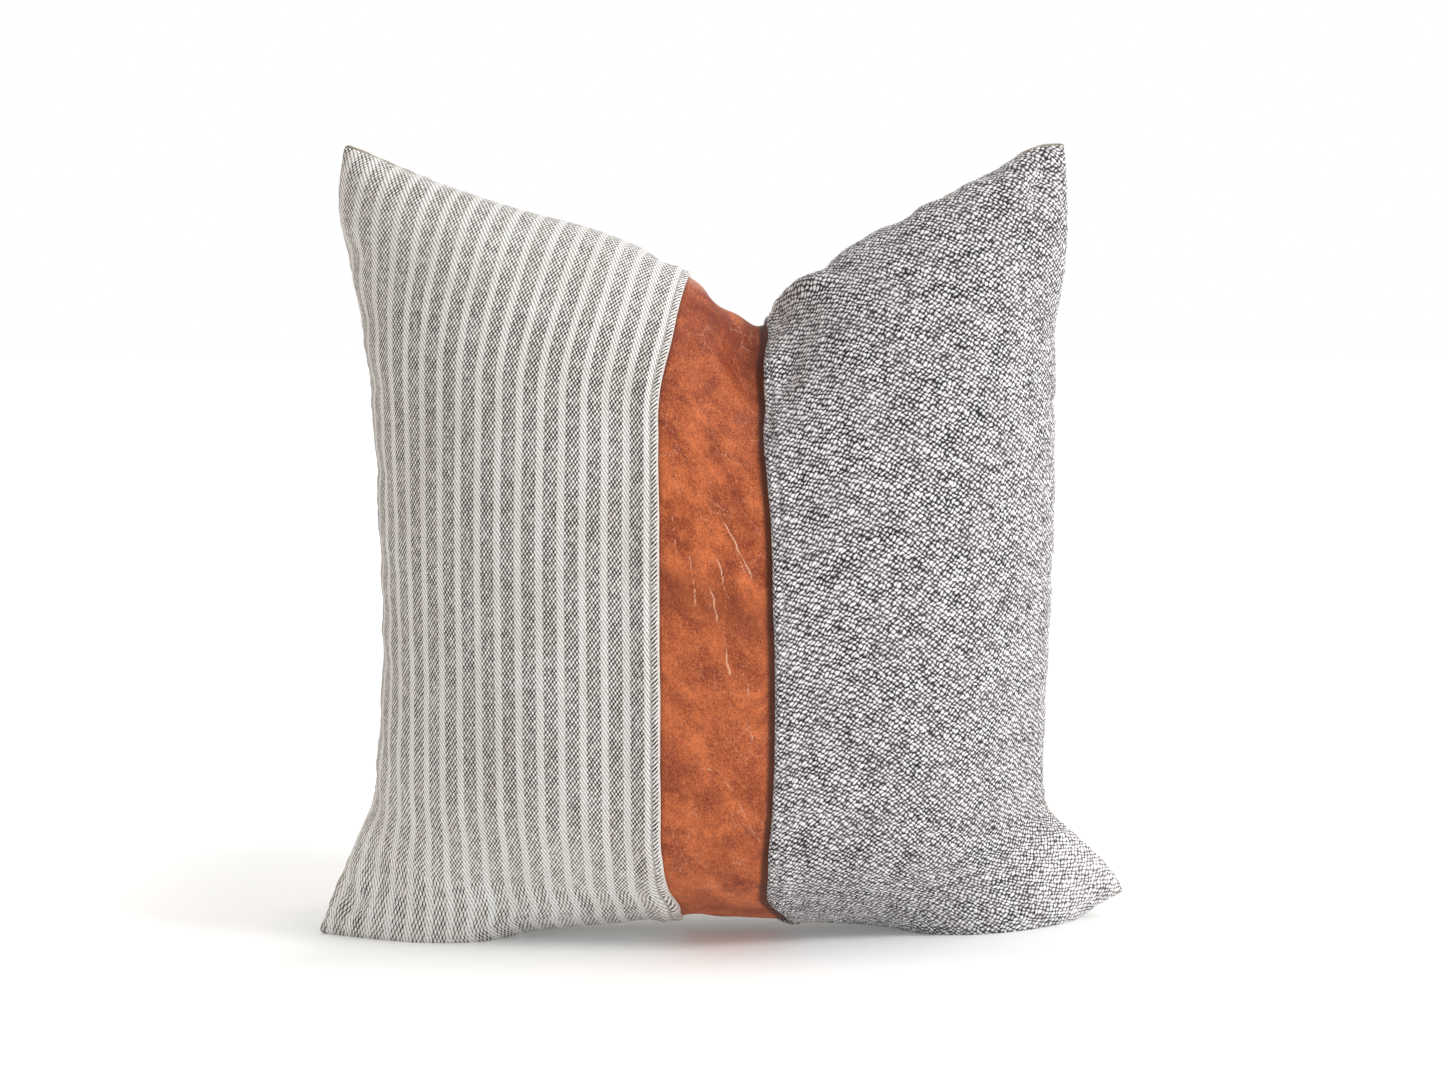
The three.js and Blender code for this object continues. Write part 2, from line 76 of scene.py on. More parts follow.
TOP = [[0, -222, 4, 474], [0.098, -178, 2, 455], [0.231, -119, 0, 432], [0.351, -62, 0, 414], [0.441, -22, 0, 391.5], [0.521, 9, 0, 368.5], [0.559, 24, 0, 362], [0.61, 42, 0, 377], [0.66, 62, 0, 396], [0.775, 110, 0, 427], [0.9, 166, 2, 459], [0.955, 189, 4, 472], [1, 206, 6, 475]]
BOTTOM = [[0, -241, -6, 5], [0.08, -203, -3, 2], [0.18, -158, 0, 4], [0.34, -84, 4, 7.5], [0.45, -27, 7, 12.5], [0.56, 28, 10, 11], [0.66, 78, 14, 7.5], [0.82, 154, 25, 3], [0.92, 204, 37, 4.5], [0.966, 229, 46, 9], [1, 252, 56, 15]]
LEFT = [[0, -241, -6, 5], [0.058, -231, -5, 30], [0.099, -222, -4, 47], [0.138, -214, -3, 64], [0.176, -207, -2, 81], [0.252, -203, -1, 117], [0.352, -200, 0, 165], [0.508, -201, 0, 240], [0.677, -205, 0, 321], [0.791, -212, 1, 375], [0.855, -218, 2, 405], [0.929, -224.5, 3, 440], [1, -222, 4, 474]]
RIGHT = [[0, 252, 56, 15], [0.032, 243, 53, 29], [0.076, 228, 47, 45], [0.111, 214, 42, 57], [0.145, 202, 36, 69], [0.177, 198, 32, 83], [0.216, 197, 28, 101], [0.321, 198, 20, 150], [0.51, 200, 8, 240], [0.706, 200, 4, 334], [0.773, 200, 4, 366], [0.866, 206, 4, 410], [1, 206, 6, 475]]


def keyed(rows):
    rows = np.array(rows, float)
    ts, pts = rows[:, 0], rows[:, 1:]
    n = len(pts) - 1
    ext = np.vstack([2 * pts[0] - pts[1], pts, 2 * pts[-1] - pts[-2]])

    def f(t):
        t = np.asarray(t, float)
        i = np.clip(np.searchsorted(ts, t, side="left") - 1, 0, n - 1)
        w = (t - ts[i]) / (ts[i + 1] - ts[i])
        p0, p1, p2, p3 = ext[i], ext[i + 1], ext[i + 2], ext[i + 3]
        d0 = (((p1 - p0) ** 2).sum(-1) ** 0.25)[..., None]
        d1 = (((p2 - p1) ** 2).sum(-1) ** 0.25)[..., None]
        d2 = (((p3 - p2) ** 2).sum(-1) ** 0.25)[..., None]
        a = ((p1 - p0) / d0 - (p2 - p0) / (d0 + d1) + (p2 - p1) / d1) * d1
        b = ((p2 - p1) / d1 - (p3 - p1) / (d1 + d2) + (p3 - p2) / d2) * d1
        w = w[..., None]
        return p1 + a * w + (-3 * p1 + 3 * p2 - 2 * a - b) * w * w + (2 * p1 - 2 * p2 + a + b) * w ** 3

    return f


top, bottom, left, right = keyed(TOP), keyed(BOTTOM), keyed(LEFT), keyed(RIGHT)
CORNERS = [left(0.0), right(0.0), left(1.0), right(1.0)]


def smooth(x, a, b):
    t = np.clip((np.asarray(x, float) - a) / (b - a), 0, 1)
    return t * t * (3 - 2 * t)


def bell(x):
    return np.exp(-np.asarray(x, float) ** 2)


def remap(a, across):
    p, q = 2 * a - 1, 2 * across - 1
    k = 1 - q ** 4
    return (1 + p + k * (np.sin(EDGE_ANGLE * p) / np.sin(EDGE_ANGLE) - p)) / 2


def hump(a):
    return np.maximum(0, (np.cos(EDGE_ANGLE * (2 * a - 1)) - np.cos(EDGE_ANGLE)) / (1 - np.cos(EDGE_ANGLE)))


def fullness(u, v):
    dent = 1 - DENT_DEPTH * bell((u - DENT_U) / DENT_WIDTH) * smooth(v, 0.72, 0.99)
    return HALF_DEPTH * (hump(u) * hump(v)) ** FULLNESS * (1 + 0.07 * (0.5 - v)) * dent


def pull(b):
    """The seams above and below shape the cloth near them more than they shape its middle."""
    return 0.5 + 0.5 * np.sign(2 * b - 1) * np.abs(2 * b - 1) ** PULL


def roll(v):
    return TOP_ROLL * smooth(v, 0.76, 0.95) * (1 - np.maximum(0, (v - 0.95) / 0.05) ** 2)


def middle(u, v):
    a0, b0 = remap(u, v), remap(v, u)
    a, b = a0[..., None], pull(b0)[..., None]
    P = bottom(a0) * (1 - b) + top(a0) * b + left(b0) * (1 - a) + right(b0) * a
    P = P - CORNERS[0] * (1 - a) * (1 - b) - CORNERS[1] * a * (1 - b) - CORNERS[2] * (1 - a) * b - CORNERS[3] * a * b
    P[..., 1] += LEAN * np.sin(np.pi * u) * np.sin(np.pi * v)
    return P


def press(P, v):
    stand = bell((P[..., 0] - STAND_LEFT) / STAND_WIDTH) + bell((P[..., 0] - STAND_RIGHT) / STAND_WIDTH)
    return STAND_PRESS * np.minimum(1, stand) * bell((v - 0.02) / 0.06)


def side(u, v, sign, off=0.0):
    u, v = np.broadcast_arrays(np.asarray(u, float), np.asarray(v, float))
    P = middle(u, v)
    P[..., 2] = np.maximum(0, P[..., 2] - press(P, v))
    P[..., 1] += sign * (fullness(u, v) + off)
    P[..., 2] -= sign * roll(v) * hump(u) ** 0.5
    return P


# ---- the zip's level arc: a climbs along the cloth, b points out of the back -------------
ZC = np.array([ZIP_CENTRE_X, ZIP_BACK_Y - ZIP_RADIUS, ZIP_HEIGHT])


def zip_point(phi, a, b):
    phi, a, b = np.broadcast_arrays(*[np.asarray(x, float) for x in (phi, a, b)])
    r = ZIP_RADIUS + a * np.sin(ZIP_TILT) + b * np.cos(ZIP_TILT)
    return np.stack([ZC[0] + r * np.sin(phi), ZC[1] + r * np.cos(phi), ZC[2] + a * np.cos(ZIP_TILT) - b * np.sin(ZIP_TILT)], -1)


def zip_phi(u):
    u = np.asarray(u, float)
    return np.arcsin(np.clip((middle(u, np.full_like(u, ZIP_V))[..., 0] - ZC[0]) / ZIP_RADIUS, -0.6, 0.6))


def on_zip(u):
    f = zip_phi(u)
    return (1 - smooth(f, ZIP_END + 0.017, ZIP_END + 0.055)) * smooth(f, ZIP_START - 0.055, ZIP_START - 0.017)


def back_side(u, v):
    u, v = np.broadcast_arrays(np.asarray(u, float), np.asarray(v, float))
    P = side(u, v, 1)
    at, arc = side(u, np.full_like(u, ZIP_V), 1), zip_point(zip_phi(u), 0, -0.9)
    w = on_zip(u) * bell((v - ZIP_V) / 0.1)
    P[..., 1] += w * (arc[..., 1] - at[..., 1]) * smooth(v, 0, 0.05)
    P[..., 2] = np.maximum(0, P[..., 2] + w * (arc[..., 2] - at[..., 2]) * smooth(v, 0.02, 0.1))
    return P


# ---- lengths measured along the cloth ----------------------------------------------------
GATHER_TOP = [[0, 0], [60, 8.0], [150, 15.0], [215, 14.0], [284, 4.0], [508, 0]]        # cloth mm -> mm that it is drawn to the right
GATHER_LOW = [[0, 0], [215, 5.0], [284, -2.0], [508, 0]]


def drawn(s, v):
    """How far the cloth at s is drawn along the seam, as a fraction of its width, at height v."""
    top_pull = np.interp(s, *np.array(GATHER_TOP, float).T) * smooth(v, 0.72, 0.99)
    low_pull = np.interp(s, *np.array(GATHER_LOW, float).T) * smooth(v, 0.45, 0.03)
    return (top_pull + low_pull) / COVER


def arc_grid(place, n, gather=False):
    """(u, v) of an n+1 by n+1 grid whose rows and columns are evenly spaced along the cloth."""
    m = 640
    fine = 0.5 - 0.5 * np.cos(np.pi * np.linspace(0, 1, m + 1))
    few = 0.5 - 0.5 * np.cos(np.pi * np.linspace(0, 1, 97))
    even = np.linspace(0, 1, n + 1)

    def lengths(P, axis):
        d = np.sqrt((np.diff(P, axis=axis) ** 2).sum(-1))
        d = np.concatenate([np.zeros_like(np.take(d, [0], axis)), np.cumsum(d, axis)], axis)
        return d / np.take(d, [-1], axis)

    A = lengths(place(fine[:, None], few[None, :]), 0)
    B = lengths(place(few[:, None], fine[None, :]), 1)
    us = np.stack([np.interp(even + (drawn(even * COVER, few[j]) if gather else 0), A[:, j], fine) for j in range(len(few))], 1)   # s node, v
    vt = np.stack([np.interp(even, B[i], fine) for i in range(len(few))], 0)      # u, t node
    u, v = np.meshgrid(even, even, indexing="ij")
    u, v = u.copy(), v.copy()
    for _ in range(8):
        for i in range(n + 1):
            u[i] = np.interp(v[i], few, us[i])
        for j in range(n + 1):
            v[:, j] = np.interp(u[:, j], few, vt[:, j])
    return u, v


# ---- tensor splines --------------------------------------------------------------------------
def spline_rows(n, x):
    """Rows that interpolate n+1 evenly spaced values at x in 0..n, and their slopes."""
    k = n + 1
    A, B = np.eye(k), np.zeros((k, k))
    for i in range(1, n):
        A[i, i - 1:i + 2] = 1, 4, 1
        B[i, i - 1:i + 2] = 6, -12, 6
    M = np.linalg.solve(A, B)
    x = np.asarray(x, float)
    i = np.clip(np.floor(x).astype(int), 0, n - 1)
    f = (x - i)[:, None]
    E = np.eye(k)
    v = (1 - f) * E[i] + f * E[i + 1] + ((1 - f) ** 3 - (1 - f)) / 6 * M[i] + (f ** 3 - f) / 6 * M[i + 1]
    d = E[i + 1] - E[i] - (3 * (1 - f) ** 2 - 1) / 6 * M[i] + (3 * f ** 2 - 1) / 6 * M[i + 1]
    return v, d


def soft_rows(n, x):
    """Cubic B-spline rows over n+1 values that are nought at both ends."""
    x = np.asarray(x, float)
    i = np.clip(np.floor(x).astype(int), 0, n - 1)
    f = x - i
    w = np.stack([(1 - f) ** 3, 3 * f ** 3 - 6 * f ** 2 + 4, -3 * f ** 3 + 3 * f ** 2 + 3 * f + 1, f ** 3], 1) / 6
    dw = np.stack([-3 * (1 - f) ** 2, 9 * f ** 2 - 12 * f, -9 * f ** 2 + 6 * f + 3, 3 * f ** 2], 1) / 6
    v, d = np.zeros((len(x), n + 1)), np.zeros((len(x), n + 1))
    r = np.arange(len(x))
    for q in range(4):
        k = i + q - 1
        sgn = np.where((k < 0) | (k > n), -1.0, 1.0)
        k = np.where(k < 0, -k, np.where(k > n, 2 * n - k, k))
        np.add.at(v, (r, k), w[:, q] * sgn)
        np.add.at(d, (r, k), dw[:, q] * sgn)
    return v, d


def tensor(A, G, B):
    return np.einsum("ik,klc,jl->ijc", A, G, B, optimize=True)


# ---- the cloth settling over its fill ---------------------------------------------------------
def settle(F0, sign, n, iters, reach, edge_hold, mid_hold, pressure, bend, comp, seed):
    """Position-based cloth: the cut size is 508 mm square, so the cloth left over along the seams and at the dent
    buckles into puckers, while the full middle keeps its length. The seams stay where they are sewn."""
    h = COVER / n
    full = np.arange(n + 1)
    sets = []
    span = lambda o, d, st: (np.arange(o, n + 1 - d, st), np.arange(o, n + 1 - d, st) + d)
    for o in (0, 1):
        a, b = span(o, 1, 2)
        sets += [("s", a, full, b, full, 1.0), ("s", full, a, full, b, 1.0)]
        for q in (0, 1):
            c, d = span(q, 1, 2)
            sets += [("d", a, c, b, d, 2 ** 0.5), ("d", a, d, b, c, 2 ** 0.5)]
    for o in range(4):
        a, b = span(o, 2, 4)
        sets += [("b", a, full, b, full, 2.0), ("b", full, a, full, b, 2.0)]
    P = F0.reshape(-1, 3).copy()
    T, V = P.copy(), P.copy()
    t = np.linspace(0, 1, n + 1)
    U, W = np.meshgrid(t, t, indexing="ij")
    edge = np.minimum(np.minimum(U, 1 - U), np.minimum(W, 1 - W)) * COVER
    k = np.maximum(np.exp(-(edge / reach) ** 2), bell((U - DENT_U) / 0.09) * np.clip((W - 0.72) / 0.2, 0, 1)).ravel()
    hold = (edge_hold + (mid_hold - edge_hold) * (1 - k))[:, None]
    cons = []
    for kind, i0, j0, i1, j1, r in sets:
        A = (i0[:, None] * (n + 1) + j0[None, :]).ravel()
        B = (i1[:, None] * (n + 1) + j1[None, :]).ravel()
        r0 = np.sqrt(((T[B] - T[A]) ** 2).sum(1, keepdims=True))
        kk = ((k[A] + k[B]) / 2)[:, None]
        cons.append((kind, A, B, r0 * (1 - kk) + np.maximum(h * r, r0) * kk))
    rng = np.random.default_rng(seed)
    fixed = np.zeros((n + 1, n + 1), bool)
    fixed[0] = fixed[-1] = True
    fixed[:, 0] = fixed[:, -1] = True
    fixed = fixed.ravel()
    w = (~fixed).astype(float)[:, None]
    P += rng.normal(0, 0.05, P.shape) * w
    for _ in range(iters):
        X = P.reshape(n + 1, n + 1, 3)
        out = np.cross(np.gradient(X, axis=0), np.gradient(X, axis=1)).reshape(-1, 3) / (h * h) * (1 if sign < 0 else -1)
        v = (P - V) * 0.85
        V = P.copy()
        P = P + (v + out * pressure) * w
        for kind, A, B, r in cons:
            dd = P[B] - P[A]
            ln = np.sqrt((dd * dd).sum(1, keepdims=True)) + 1e-9
            e = (ln - r) / ln
            if kind == "s":
                e = np.where(e > 0, e, e * comp)
            elif kind == "d":
                e = e * 0.3
            else:
                e = np.where(e > 0, 0, e * bend)
            wa, wb = w[A], w[B]
            c = dd * (e / np.maximum(wa + wb, 1e-6))
            P[A] += c * wa
            P[B] -= c * wb
        P += (T - P) * hold * w
        P[:, 2] = np.maximum(P[:, 2], 0)
        P[fixed] = T[fixed]
    return (P - T).reshape(n + 1, n + 1, 3)


NB, ND = 128, 64        # nodes of the filled form, and of the settled cloth
BASE, FOLD = {}, {}


def build_cover(full_run=True):
    for sign, place in ((-1, lambda u, v: side(u, v, -1)), (1, back_side)):
        u, v = arc_grid(place, NB, sign < 0)
        BASE[sign] = place(u, v)
        BASE[sign, "uv"] = (u, v)
        if full_run:
            FOLD[sign] = settle(BASE[sign][::2, ::2], sign, ND, 300, 34.0, 0.0015, 0.02, 0.05, 0.7, 0.15, 3 + sign)
        else:
            FOLD[sign] = np.zeros((ND + 1, ND + 1, 3))
    u, v = BASE[1, "uv"]
    u, v = u[::2, ::2], v[::2, ::2]
    calm = 1 - on_zip(u) * bell((v - ZIP_V) / 0.075)      # the tape keeps the back flat along the zip
    FOLD[1] = FOLD[1] * calm[..., None]
    across, up = np.meshgrid(np.linspace(0, 1, ND + 1), np.linspace(0, 1, ND + 1), indexing="ij")
    flank = smooth(np.minimum(across, 1 - across), 0.20, 0.03) * smooth(up, 0.06, 0.20) * smooth(up, 0.96, 0.80)
    for sign in (-1, 1):                                  # the straight flanks are drawn tight by the fill
        near_dent = bell((across - DENT_U) / 0.10) * smooth(up, 0.78, 0.95)
        near_foot = bell((across - 0.5) / 0.14) * smooth(up, 0.14, 0.03)
        FOLD[sign] = FOLD[sign] * (1 - 0.62 * flank)[..., None] * ((1 - 0.85 * near_dent) * (1 - 0.85 * near_foot))[..., None]


def ridge(S, T, p, q, width):
    """1 on the line from p to q in the flat cloth, fading to 0 away from it and at its ends."""
    d = np.array(q, float) - np.array(p, float)
    f = ((S - p[0]) * d[0] + (T - p[1]) * d[1]) / (d @ d)
    g = np.clip(f, 0, 1)
    dist = np.hypot(S - p[0] - g * d[0], T - p[1] - g * d[1])
    return bell(dist / width) * smooth(1.0 - f, -0.25, 0.45)


def pinch(S, T):
    """The fold on the right of the dent, its valley behind it, and the drawn corners."""
    rise = 5.5 * ridge(S, T, (300.0, 490.0), (340.0, 462.0), 8.0)
    valley = -9.5 * ridge(S, T, (306.0, 506.0), (342.0, 484.0), 8.0)
    keep = smooth(COVER - T, 0, 6.0) * smooth(S, 284.0, 302.0)
    corner = -5.0 * ridge(S, T, (486.0, 488.0), (468.0, 470.0), 8.0) - 2.2 * ridge(S, T, (18.0, 26.0), (44.0, 60.0), 5.0)
    return (rise + valley) * keep + corner


def cover(sign, s, t):
    """Points and outward normals of one side of the cover at every s by every t."""
    s, t = np.clip(np.asarray(s, float), 0, COVER), np.clip(np.asarray(t, float), 0, COVER)
    As, ds = spline_rows(NB, s / COVER * NB)
    At, dt = spline_rows(NB, t / COVER * NB)
    Bs, es = soft_rows(ND, s / COVER * ND)
    Bt, et = soft_rows(ND, t / COVER * ND)
    P = tensor(As, BASE[sign], At) + tensor(Bs, FOLD[sign], Bt)
    Ps = tensor(ds, BASE[sign], At) * 2 + tensor(es, FOLD[sign], Bt)
    Pt = tensor(As, BASE[sign], dt) * 2 + tensor(Bs, FOLD[sign], et)
    n = np.cross(Ps, Pt) * (1 if sign < 0 else -1)
    n /= np.linalg.norm(n, axis=-1, keepdims=True) + 1e-9
    if sign < 0:
        S, T = s[:, None] + 0 * t[None, :], t[None, :] + 0 * s[:, None]
        h = pinch(S, T)
        a = (pinch(S + 0.5, T) - pinch(S - 0.5, T))[..., None]
        b = (pinch(S, T + 0.5) - pinch(S, T - 0.5))[..., None]
        k = COVER / NB * 2
        P = P + n * h[..., None]
        Ps, Pt = Ps / k + n * a, Pt / k + n * b
        n = np.cross(Ps, Pt)
        n /= np.linalg.norm(n, axis=-1, keepdims=True) + 1e-9
    P[..., 2] = np.maximum(P[..., 2], 0)
    return P, n


# ------------------------------------------------------------------------------------
# Meshes
# ------------------------------------------------------------------------------------
def noise1(x, step, seed):
    """Smooth values in -1..1 along a line."""
    rng = np.random.default_rng(seed)
    g = rng.uniform(-1, 1, 4096)
    x = np.asarray(x, float) / step + 100.0
    i = np.floor(x).astype(int)
    f = smooth(x - i, 0, 1)
    return g[i % 4096] * (1 - f) + g[(i + 1) % 4096] * f


def noise2(x, y, step, seed):
    """Smooth values in -1..1 over a plane; x and y broadcast."""
    rng = np.random.default_rng(seed)
    g = rng.uniform(-1, 1, (256, 256))
    x, y = np.asarray(x, float) / step + 60.0, np.asarray(y, float) / step + 60.0
    i, j = np.floor(x).astype(int), np.floor(y).astype(int)
    f, h = smooth(x - i, 0, 1), smooth(y - j, 0, 1)
    i, j, i1, j1 = i % 256, j % 256, (i + 1) % 256, (j + 1) % 256
    return (g[i, j] * (1 - f) + g[i1, j] * f) * (1 - h) + (g[i, j1] * (1 - f) + g[i1, j1] * f) * h


def lip(d, r):
    """How far a cloth has risen to its full thickness at distance d from the seam it turns into."""
    d = np.clip(np.asarray(d, float) / r, 0, 1)
    return np.sqrt(np.maximum(0, 1 - (1 - d) ** 2))


def mesh_object(name, points, faces, cloth=None, extra=None, smooth_shade=True):
    me = bpy.data.meshes.new(name)
    me.from_pydata((points + 0.0).tolist(), [], faces)
    me.update()
    if cloth is not None:
        a = me.attributes.new("cloth", "FLOAT_VECTOR", "POINT")
        a.data.foreach_set("vector", np.ascontiguousarray(cloth, np.float32).ravel())
    for key, values in (extra or {}).items():
        a = me.attributes.new(key, "FLOAT", "POINT")
        a.data.foreach_set("value", np.ascontiguousarray(values, np.float32).ravel())
    if smooth_shade:
        me.polygons.foreach_set("use_smooth", np.ones(len(me.polygons), bool))
    ob = bpy.data.objects.new(name, me)
    scene.collection.objects.link(ob)
    return ob


def signed_volume(p, faces):
    quads = np.array([f for f in faces if len(f) == 4])
    a, b, c, d = (p[quads[:, k]] for k in range(4))
    return (np.einsum("ij,ij->i", a, np.cross(b, c)) + np.einsum("ij,ij->i", a, np.cross(c, d))).sum()


def swept(name, P, N, offs, k_out, inner, cloth, extra=None):
    """A closed panel. P, N: section points by sweep rows. offs: offset of each. The first k_out section points
    are the outer face and rolled edge; the rest, in `inner`, come back on the inside, each over outer point inner[k]."""
    K, T = P.shape[:2]
    X = (P + N * offs[..., None])
    X[..., 2] = np.maximum(X[..., 2], 0.0)
    X = (X + SHIFT) / 1000.0
    ids = np.arange(K * T).reshape(K, T)
    nxt = np.roll(ids, -1, axis=0)
    q = np.stack([ids[:, :-1], nxt[:, :-1], nxt[:, 1:], ids[:, 1:]], -1).reshape(-1, 4)
    faces = q.tolist()
    for row in (0, T - 1):
        for a in range(len(inner) - 1):
            lo, hi = inner[a + 1], inner[a]
            face = [ids[k_out + a, row], ids[k_out + a + 1, row]] + [ids[k, row] for k in range(lo, hi + 1)]
            faces.append(face if row else face[::-1])
        face = [ids[k, row] for k in range(inner[0], k_out)] + [ids[k_out, row]]
        if len(face) > 2:
            faces.append(face if row else face[::-1])
    pts = X.reshape(-1, 3)
    if signed_volume(pts, faces) < 0:
        faces = [f[::-1] for f in faces]
    ob = mesh_object(name, pts, faces, cloth.reshape(-1, 3), {k: v.ravel() for k, v in (extra or {}).items()})
    return ob


def seam_pucker(s, t, amp=0.32):
    """Small gathers drawn in by the seam's stitches."""
    s, t = np.asarray(s, float)[:, None], np.asarray(t, float)[None, :]
    out = 0
    for d, along, seed in ((s, t, 11), (COVER - s, t, 12), (t, s, 13), (COVER - t, s, 14)):
        wave = np.sin(2 * np.pi * along / 13.0 + 3.0 * noise1(along, 37.0, seed)) * (0.6 + 0.4 * noise1(along, 23.0, seed + 20))
        out = out + amp * wave * np.exp(-((d - 4) / 8.0) ** 2)
    return out


# ---- samples along each panel ---------------------------------------------------------------
def graded(a, b, step, near_a=False, near_b=False):
    """Even samples, with closer ones where the cloth turns into a seam."""
    tight = np.array([0.0, 0.25, 0.6, 1.1, 1.8])
    lo, hi = (a + 2.6 if near_a else a), (b - 2.6 if near_b else b)
    n = max(2, int(round((hi - lo) / step)))
    mid = np.linspace(lo, hi, n + 1)
    return np.concatenate([a + tight if near_a else [], mid, b - tight[::-1] if near_b else []])


def lap_low(d):
    return 0.35 + 1.35 * smooth(d, -9, 0)


CLOTH_T, HEM_T = 1.5, 2.5


def front_panel(name, fold_s, seam_s, step_s, step_t, stitch, groove, relief=None, roll=1.0):
    """Ticking or tweed: from its seam, over the hem that laps the leather, round the folded edge and back inside."""
    toward = 1.0 if fold_s > seam_s else -1.0
    width = abs(fold_s - seam_s)
    d = graded(0, width - 1.2, step_s, near_a=True)           # distance from the seam
    s_out = seam_s + toward * d
    into = (width - d)                                         # distance from the folded edge
    low = lap_low(HEM_LAP - into)
    hem = smooth(HEM_LAP + 1.5 - into, 0, 3.0)
    thick = CLOTH_T + (HEM_T - CLOTH_T) * hem * roll
    rounding = np.sqrt(np.clip(1 - (1 - np.clip(into / 3.0, 0, 1)) ** 2, 0, 1)) * 0.45 + 0.55
    dip = groove * bell((into - stitch) / 1.15) - 0.25 * bell((into - stitch * 0.45) / 1.6)
    high = low + thick * rounding - dip
    ts = graded(0, COVER, step_t, True, True)
    nose_a = np.array([0.72, 0.38, 0.15, 0.08, 0.22])
    nose_b = np.array([0.80, 0.62, 0.36, 0.15, 0.02])
    s_nose = fold_s - toward * nose_a
    inner = np.unique(np.concatenate([[0, 4, 8], np.arange(16, len(d), 14), [len(d) - 1]]))[::-1]
    s_all = np.concatenate([s_out, s_nose, s_out[inner]])
    P, N = cover(-1, s_all, ts)
    k = len(d)
    edge = lip(np.minimum(ts, COVER - ts), 2.4) * 0.97 + 0.03
    side_edge = lip(d, 2.4) * 0.97 + 0.03
    hi_off = np.concatenate([high * side_edge, low[-1] + (high[-1] - low[-1]) * nose_b, low[inner] * side_edge[inner] * 0.6])
    offs = hi_off[:, None] * edge[None, :]
    grow = seam_pucker(s_all, ts)
    offs[:k] += (grow[:k]) * (edge[None, :] * side_edge[:, None])
    offs[k + len(nose_a):] += grow[inner] * edge[None, :] * side_edge[inner][:, None] * 0.9
    # the folded edge wanders a little, as a hand-guided hem does
    wander = 0.35 * noise1(ts, 26, 31 + int(fold_s))
    if fold_s > COVER / 2:
        wander = wander - 4.6 * bell((ts - 450.0) / 24.0) - 1.2 * bell((ts - 482.0) / 16.0)
        wander = wander - 3.8 * bell((ts - 50.0) / 38.0) - 3.0 * bell((ts - 26.0) / 12.0) + 2.6 * bell(ts / 9.0)
    else:
        wander = wander - 4.4 * bell((ts - 62.0) / 34.0)
    offs[:k] += (0.18 * noise2(s_all[:k, None], ts[None, :], 15, 7) + 0.10 * noise2(s_all[:k, None], ts[None, :], 6, 8)) * edge[None, :]
    near_fold = np.concatenate([smooth(HEM_LAP - into, 0, HEM_LAP), np.ones(len(nose_a)), smooth(HEM_LAP - into[inner], 0, HEM_LAP)])
    Ts = np.cross(N, np.gradient(P, axis=1))
    Ts /= np.linalg.norm(Ts, axis=-1, keepdims=True) + 1e-9
    P = P + Ts * (wander[None, :] * near_fold[:, None])[..., None]
    if relief is not None:
        bump, col = relief(k, len(ts), d, ts)
        offs[:k] += bump * (edge[None, :] * side_edge[:, None])
    cloth = np.zeros(P.shape)
    sc = s_all.copy()
    sc[k:k + len(nose_a)] = fold_s + toward * np.linspace(0.3, 3.0, len(nose_a))
    cloth[..., 0], cloth[..., 1] = sc[:, None], ts[None, :]
    hemline = np.concatenate([into, np.zeros(len(nose_a)), into[inner]])
    # beside the hem distance, an attribute that falls to nought where the cloth turns into the seam, for painted shade
    # there
    extra = {"hem": np.repeat(hemline[:, None], len(ts), 1), "seam_shade": np.clip(edge[None, :] * np.concatenate([side_edge, np.ones(len(nose_a)), side_edge[inner]])[:, None], 0, 1)}
    if relief is not None:
        full = np.zeros(P.shape[:2])
        full[:k] = col
        extra["lump"] = full
    return swept(name, P, N, offs, k + len(nose_a), list(inner), cloth, extra)


# ---- tweed: thick yarns over and under, pushed about a little ---------------------------------
TWEED_S, TWEED_T = 4.0, 3.2
TWEED_WARP_X = [(0.31, 0.83, 1.3, 0.34), (-0.52, 1.37, 4.1, 0.26), (0.41, 0.23, 2.0, 0.40), (1.13, 0.19, 0.4, 0.20)]
TWEED_WARP_Y = [(0.79, 0.27, 0.7, 0.30), (1.29, -0.61, 2.9, 0.22), (0.17, 0.47, 5.2, 0.34), (0.36, 1.21, 3.3, 0.16)]


def tweed_height(x, y):
    """Height 0..1 of the yarn floats, on the same lattice as their colour."""
    X = x + sum(amp * np.sin(a * x + b * y + c) for a, b, c, amp in TWEED_WARP_X)
    Y = y + sum(amp * np.sin(a * x + b * y + c) for a, b, c, amp in TWEED_WARP_Y)
    best = np.zeros(np.broadcast(x, y).shape)
    for shift in (0.0, 0.5):
        fx = ((X / TWEED_S + shift) % 1.0 - 0.5) * TWEED_S / 1.50
        fy = ((Y / TWEED_T + shift) % 1.0 - 0.5) * TWEED_T / 1.22
        best = np.maximum(best, 1 - fx * fx - fy * fy)
    return best


def tweed_relief(k, nt, d, ts):
    h = tweed_height((COVER - d)[:, None], ts[None, :])
    slub = noise2((COVER - d)[:, None] * 0.12, ts[None, :], 2.6, 77)
    return 0.50 * (h - 0.5) + 0.16 * slub, h


# ---- leather band ---------------------------------------------------------------------------
CREASES = []      # filled in below: [strength, width, [(s, t), ...]]


